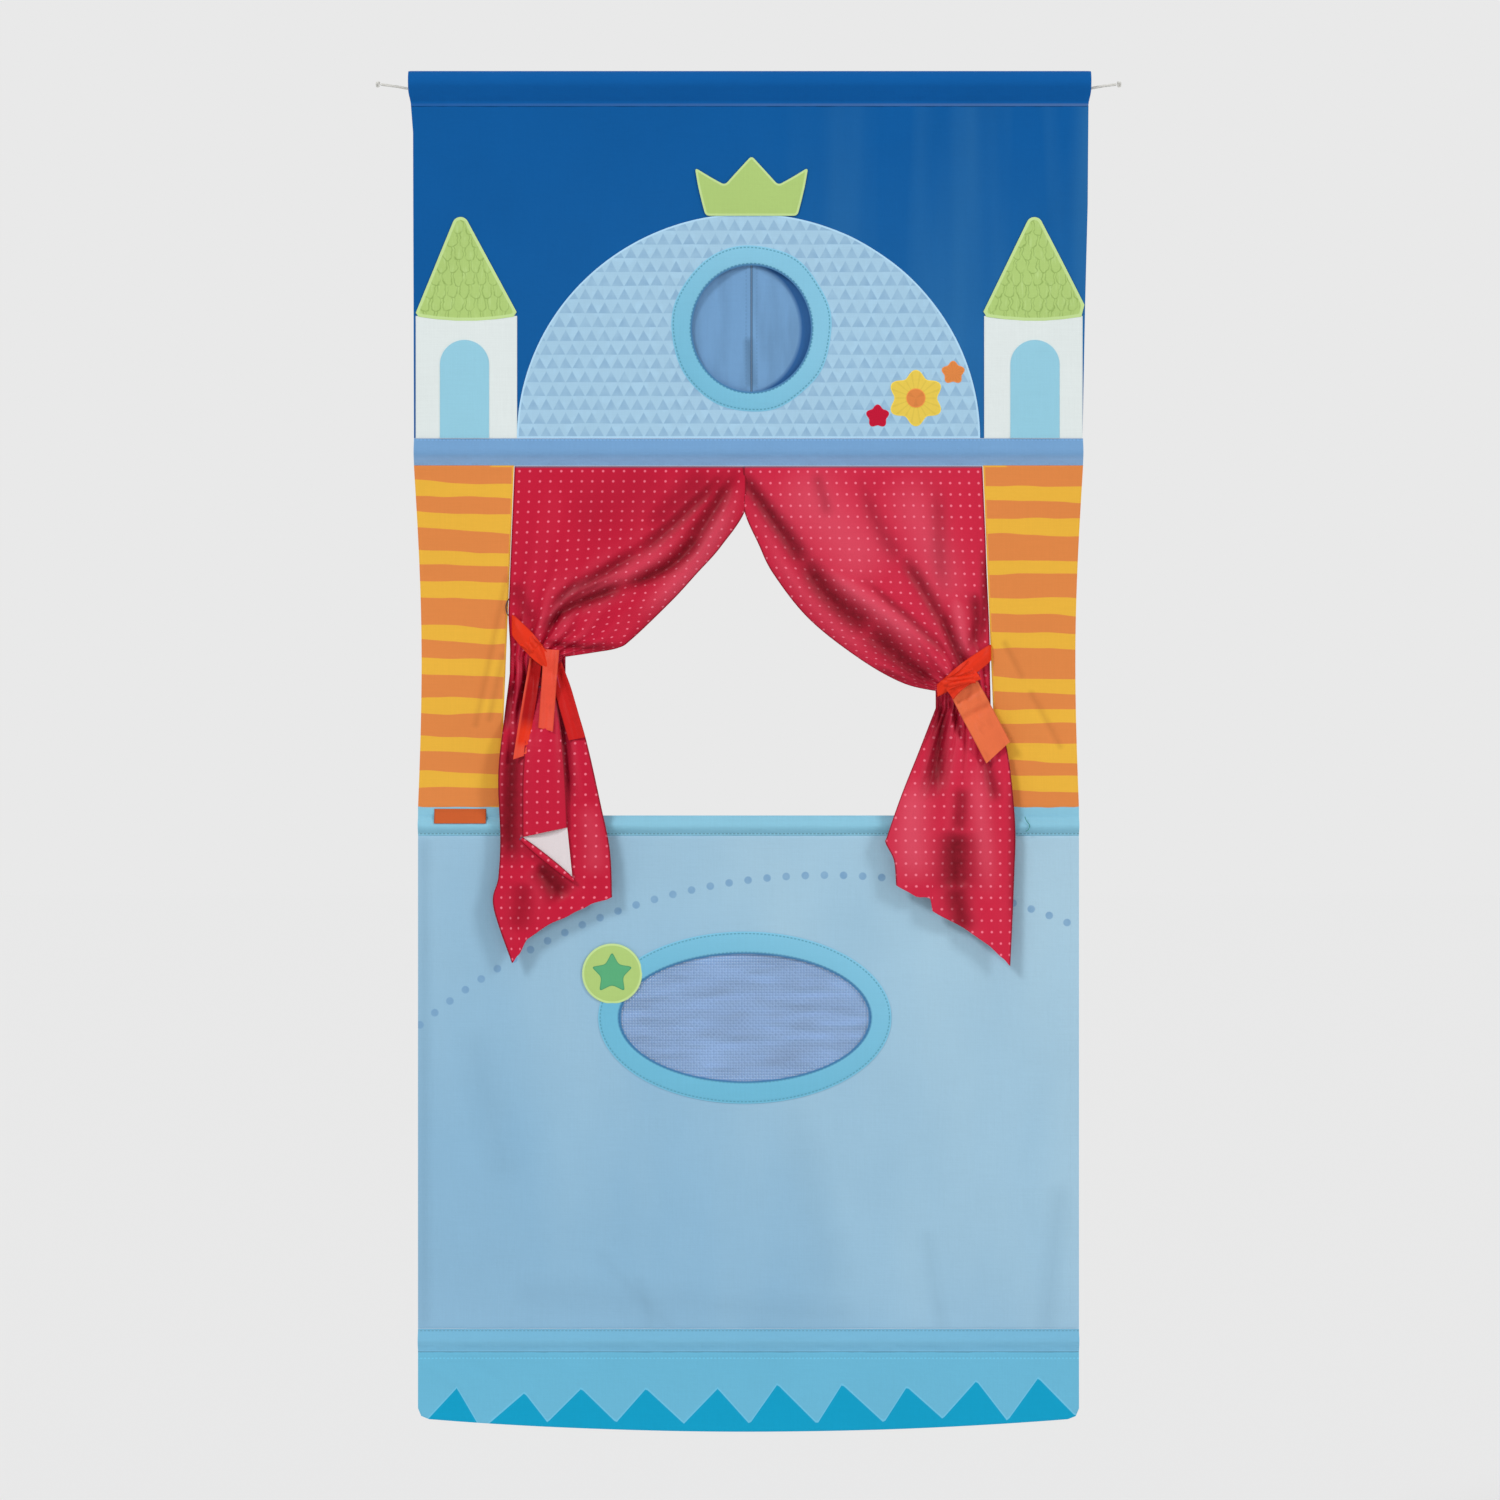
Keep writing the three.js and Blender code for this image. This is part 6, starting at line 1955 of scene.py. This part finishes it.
def make_stage(context):
    scene = context.scene
    dyes = scene.theatre_colours
    scene.view_settings.view_transform = "Standard"
    bpy.ops.object.camera_add(
        location=(view_centre_x, -camera_distance, view_centre_z), rotation=(pi / 2, 0, 0),
    )
    camera = context.object
    camera.data.sensor_width = sensor_width
    camera.data.lens = sensor_width * camera_distance / view_width
    camera.data.clip_end = 50.0
    scene.camera = camera

    world = bpy.data.worlds.new("studio")
    scene.world = world
    world.use_nodes = True
    tree = world.node_tree
    rays = tree.nodes.new("ShaderNodeLightPath")
    seen = Signal(rays.outputs["Is Camera Ray"]).either(Signal(rays.outputs["Is Glossy Ray"]))
    seen = seen.either(Signal(rays.outputs["Is Transmission Ray"]))
    light = add_node(tree, "ShaderNodeBackground", {"Color": (1.0, 1.0, 1.0), "Strength": world_light})
    white = add_node(tree, "ShaderNodeBackground", {"Color": tuple(dyes.backdrop), "Strength": 1.0})
    shown = tree.nodes.new("ShaderNodeMixShader")
    tree.links.new(seen.socket, shown.inputs[0])
    tree.links.new(light.socket, shown.inputs[1])
    tree.links.new(white.socket, shown.inputs[2])
    tree.links.new(shown.outputs[0], tree.nodes["World Output"].inputs[0])

    for name, direction, strength in suns:
        bpy.ops.object.light_add(type="SUN", location=(0, -1, 1))
        lamp = context.object
        lamp.name = name
        lamp.data.energy = strength
        lamp.data.angle = radians(14)
        lamp.rotation_euler = Vector(direction).to_track_quat("-Z", "Y").to_euler()

    bpy.ops.mesh.primitive_plane_add(size=1, location=(0, 0, cad_box[0].z - floor_gap))
    floor = context.object
    floor.name = "floor"
    floor.scale = (60, 60, 1)
    bpy.ops.object.transform_apply(location=True, rotation=True, scale=True)
    material, tree, shader = new_material("floor_finish")
    shader.inputs["Roughness"].default_value = 1.0
    shader.inputs["Specular IOR Level"].default_value = 0.0
    place = add_node(tree, "ShaderNodeTexCoord", output=3)
    speckle = mottling(tree, place, 300.0, 2.0)
    shades = (toned(dyes.backdrop, floor_share * share) for share in (0.99, 1.01))
    feed(shader, "Base Color", mix(tree, speckle, *shades))
    floor.data.materials.append(material)


# The add-on


class Step:
    """What all the operators share."""

    bl_options = {"REGISTER", "UNDO"}


class THEATRE_OT_stage(Step, bpy.types.Operator):
    """The floor, the soft light and the camera"""

    bl_idname = "theatre.stage"
    bl_label = "Stage and camera"

    def execute(self, context):
        make_stage(context)
        return {"FINISHED"}


class THEATRE_OT_cords(Step, bpy.types.Operator):
    """The cord's two ends and their knots. It runs through the rod and out of the caps"""

    bl_idname = "theatre.cords"
    bl_label = "Hanging cord"

    def execute(self, context):
        make_cords(context)
        return {"FINISHED"}


class THEATRE_OT_hardware(Step, bpy.types.Operator):
    """Gives the rods and caps their finishes"""

    bl_idname = "theatre.hardware"
    bl_label = "Rods and caps"

    def execute(self, context):
        make_hardware(context)
        return {"FINISHED"}


class THEATRE_OT_sky(Step, bpy.types.Operator):
    """The sky panel and its header, which is folded over the rod and sewn down"""

    bl_idname = "theatre.sky"
    bl_label = "Sky cloth"

    def execute(self, context):
        make_sky(context)
        return {"FINISHED"}


class THEATRE_OT_castle(Step, bpy.types.Operator):
    """The dome, the ring round its window, the crown, the towers and the flowers"""

    bl_idname = "theatre.castle"
    bl_label = "Castle patches"

    def execute(self, context):
        make_castle(context)
        return {"FINISHED"}


class THEATRE_OT_flaps(Step, bpy.types.Operator):
    """The two flaps behind the round window, sewn along their outer edges"""

    bl_idname = "theatre.flaps"
    bl_label = "Window flaps"

    def execute(self, context):
        make_flaps(context)
        return {"FINISHED"}


class THEATRE_OT_ledge(Step, bpy.types.Operator):
    """The ledge band under the castle"""

    bl_idname = "theatre.ledge"
    bl_label = "Ledge band"

    def execute(self, context):
        make_ledge(context)
        return {"FINISHED"}


class THEATRE_OT_strips(Step, bpy.types.Operator):
    """The striped strips at both sides of the stage opening"""

    bl_idname = "theatre.strips"
    bl_label = "Side strips"

    def execute(self, context):
        make_strips(context)
        return {"FINISHED"}


class THEATRE_OT_curtains(Step, bpy.types.Operator):
    """The two red curtains, each one cloth from the ledge to its hem, and the left one's turned corner"""

    bl_idname = "theatre.curtains"
    bl_label = "Curtains"

    def execute(self, context):
        make_curtains(context)
        return {"FINISHED"}


class THEATRE_OT_ribbons(Step, bpy.types.Operator):
    """The ribbons that tie the curtains back"""

    bl_idname = "theatre.ribbons"
    bl_label = "Ribbons"

    def execute(self, context):
        make_ribbons(context)
        return {"FINISHED"}


class THEATRE_OT_stage_edge(Step, bpy.types.Operator):
    """The band at the foot of the stage opening, its ears under the strips and the tab"""

    bl_idname = "theatre.stage_edge"
    bl_label = "Stage edge"

    def execute(self, context):
        make_stage_edge(context)
        return {"FINISHED"}


class THEATRE_OT_lower_panel(Step, bpy.types.Operator):
    """The lower panel with its arc of dots, the oval window's binding and the badge"""

    bl_idname = "theatre.lower_panel"
    bl_label = "Lower panel"

    def execute(self, context):
        make_lower_panel(context)
        return {"FINISHED"}


class THEATRE_OT_net(Step, bpy.types.Operator):
    """The net behind the oval window: threads over and under each other"""

    bl_idname = "theatre.net"
    bl_label = "Net"

    def execute(self, context):
        make_net(context)
        return {"FINISHED"}


class THEATRE_OT_bottom(Step, bpy.types.Operator):
    """The bottom band and the valance with its row of triangles"""

    bl_idname = "theatre.bottom"
    bl_label = "Bottom band and valance"

    def execute(self, context):
        make_bottom(context)
        return {"FINISHED"}


class THEATRE_OT_threads(Step, bpy.types.Operator):
    """Loose thread ends at the strips, as the sewing left them"""

    bl_idname = "theatre.threads"
    bl_label = "Loose threads"

    def execute(self, context):
        make_threads(context)
        return {"FINISHED"}


steps = (
    THEATRE_OT_stage,
    THEATRE_OT_cords,
    THEATRE_OT_hardware,
    THEATRE_OT_sky,
    THEATRE_OT_castle,
    THEATRE_OT_flaps,
    THEATRE_OT_ledge,
    THEATRE_OT_strips,
    THEATRE_OT_curtains,
    THEATRE_OT_ribbons,
    THEATRE_OT_stage_edge,
    THEATRE_OT_lower_panel,
    THEATRE_OT_net,
    THEATRE_OT_bottom,
    THEATRE_OT_threads,
)


class THEATRE_PT_panel(bpy.types.Panel):
    """Lists the steps, and the sizes and colours that they read."""

    bl_label = "Puppet theatre"
    bl_space_type = "VIEW_3D"
    bl_region_type = "UI"
    bl_category = "Theatre"

    def draw(self, context):
        for made in steps:
            self.layout.operator(made.bl_idname)
        for group in (context.scene.theatre_sizes, context.scene.theatre_colours):
            for name in group.bl_rna.properties.keys():
                if name not in {"rna_type", "name"}:
                    self.layout.prop(group, name)


classes = (TheatreSizes, TheatreColours, *steps, THEATRE_PT_panel)


def register():
    for each in classes:
        bpy.utils.register_class(each)
    bpy.types.Scene.theatre_sizes = PointerProperty(type=TheatreSizes)
    bpy.types.Scene.theatre_colours = PointerProperty(type=TheatreColours)


def unregister():
    del bpy.types.Scene.theatre_sizes
    del bpy.types.Scene.theatre_colours
    for each in reversed(classes):
        bpy.utils.unregister_class(each)


def main():
    register()
    bpy.ops.object.select_all(action="DESELECT")
    for made in steps:
        getattr(bpy.ops.theatre, made.bl_idname.split(".")[1])()


if __name__ == "__main__":
    main()
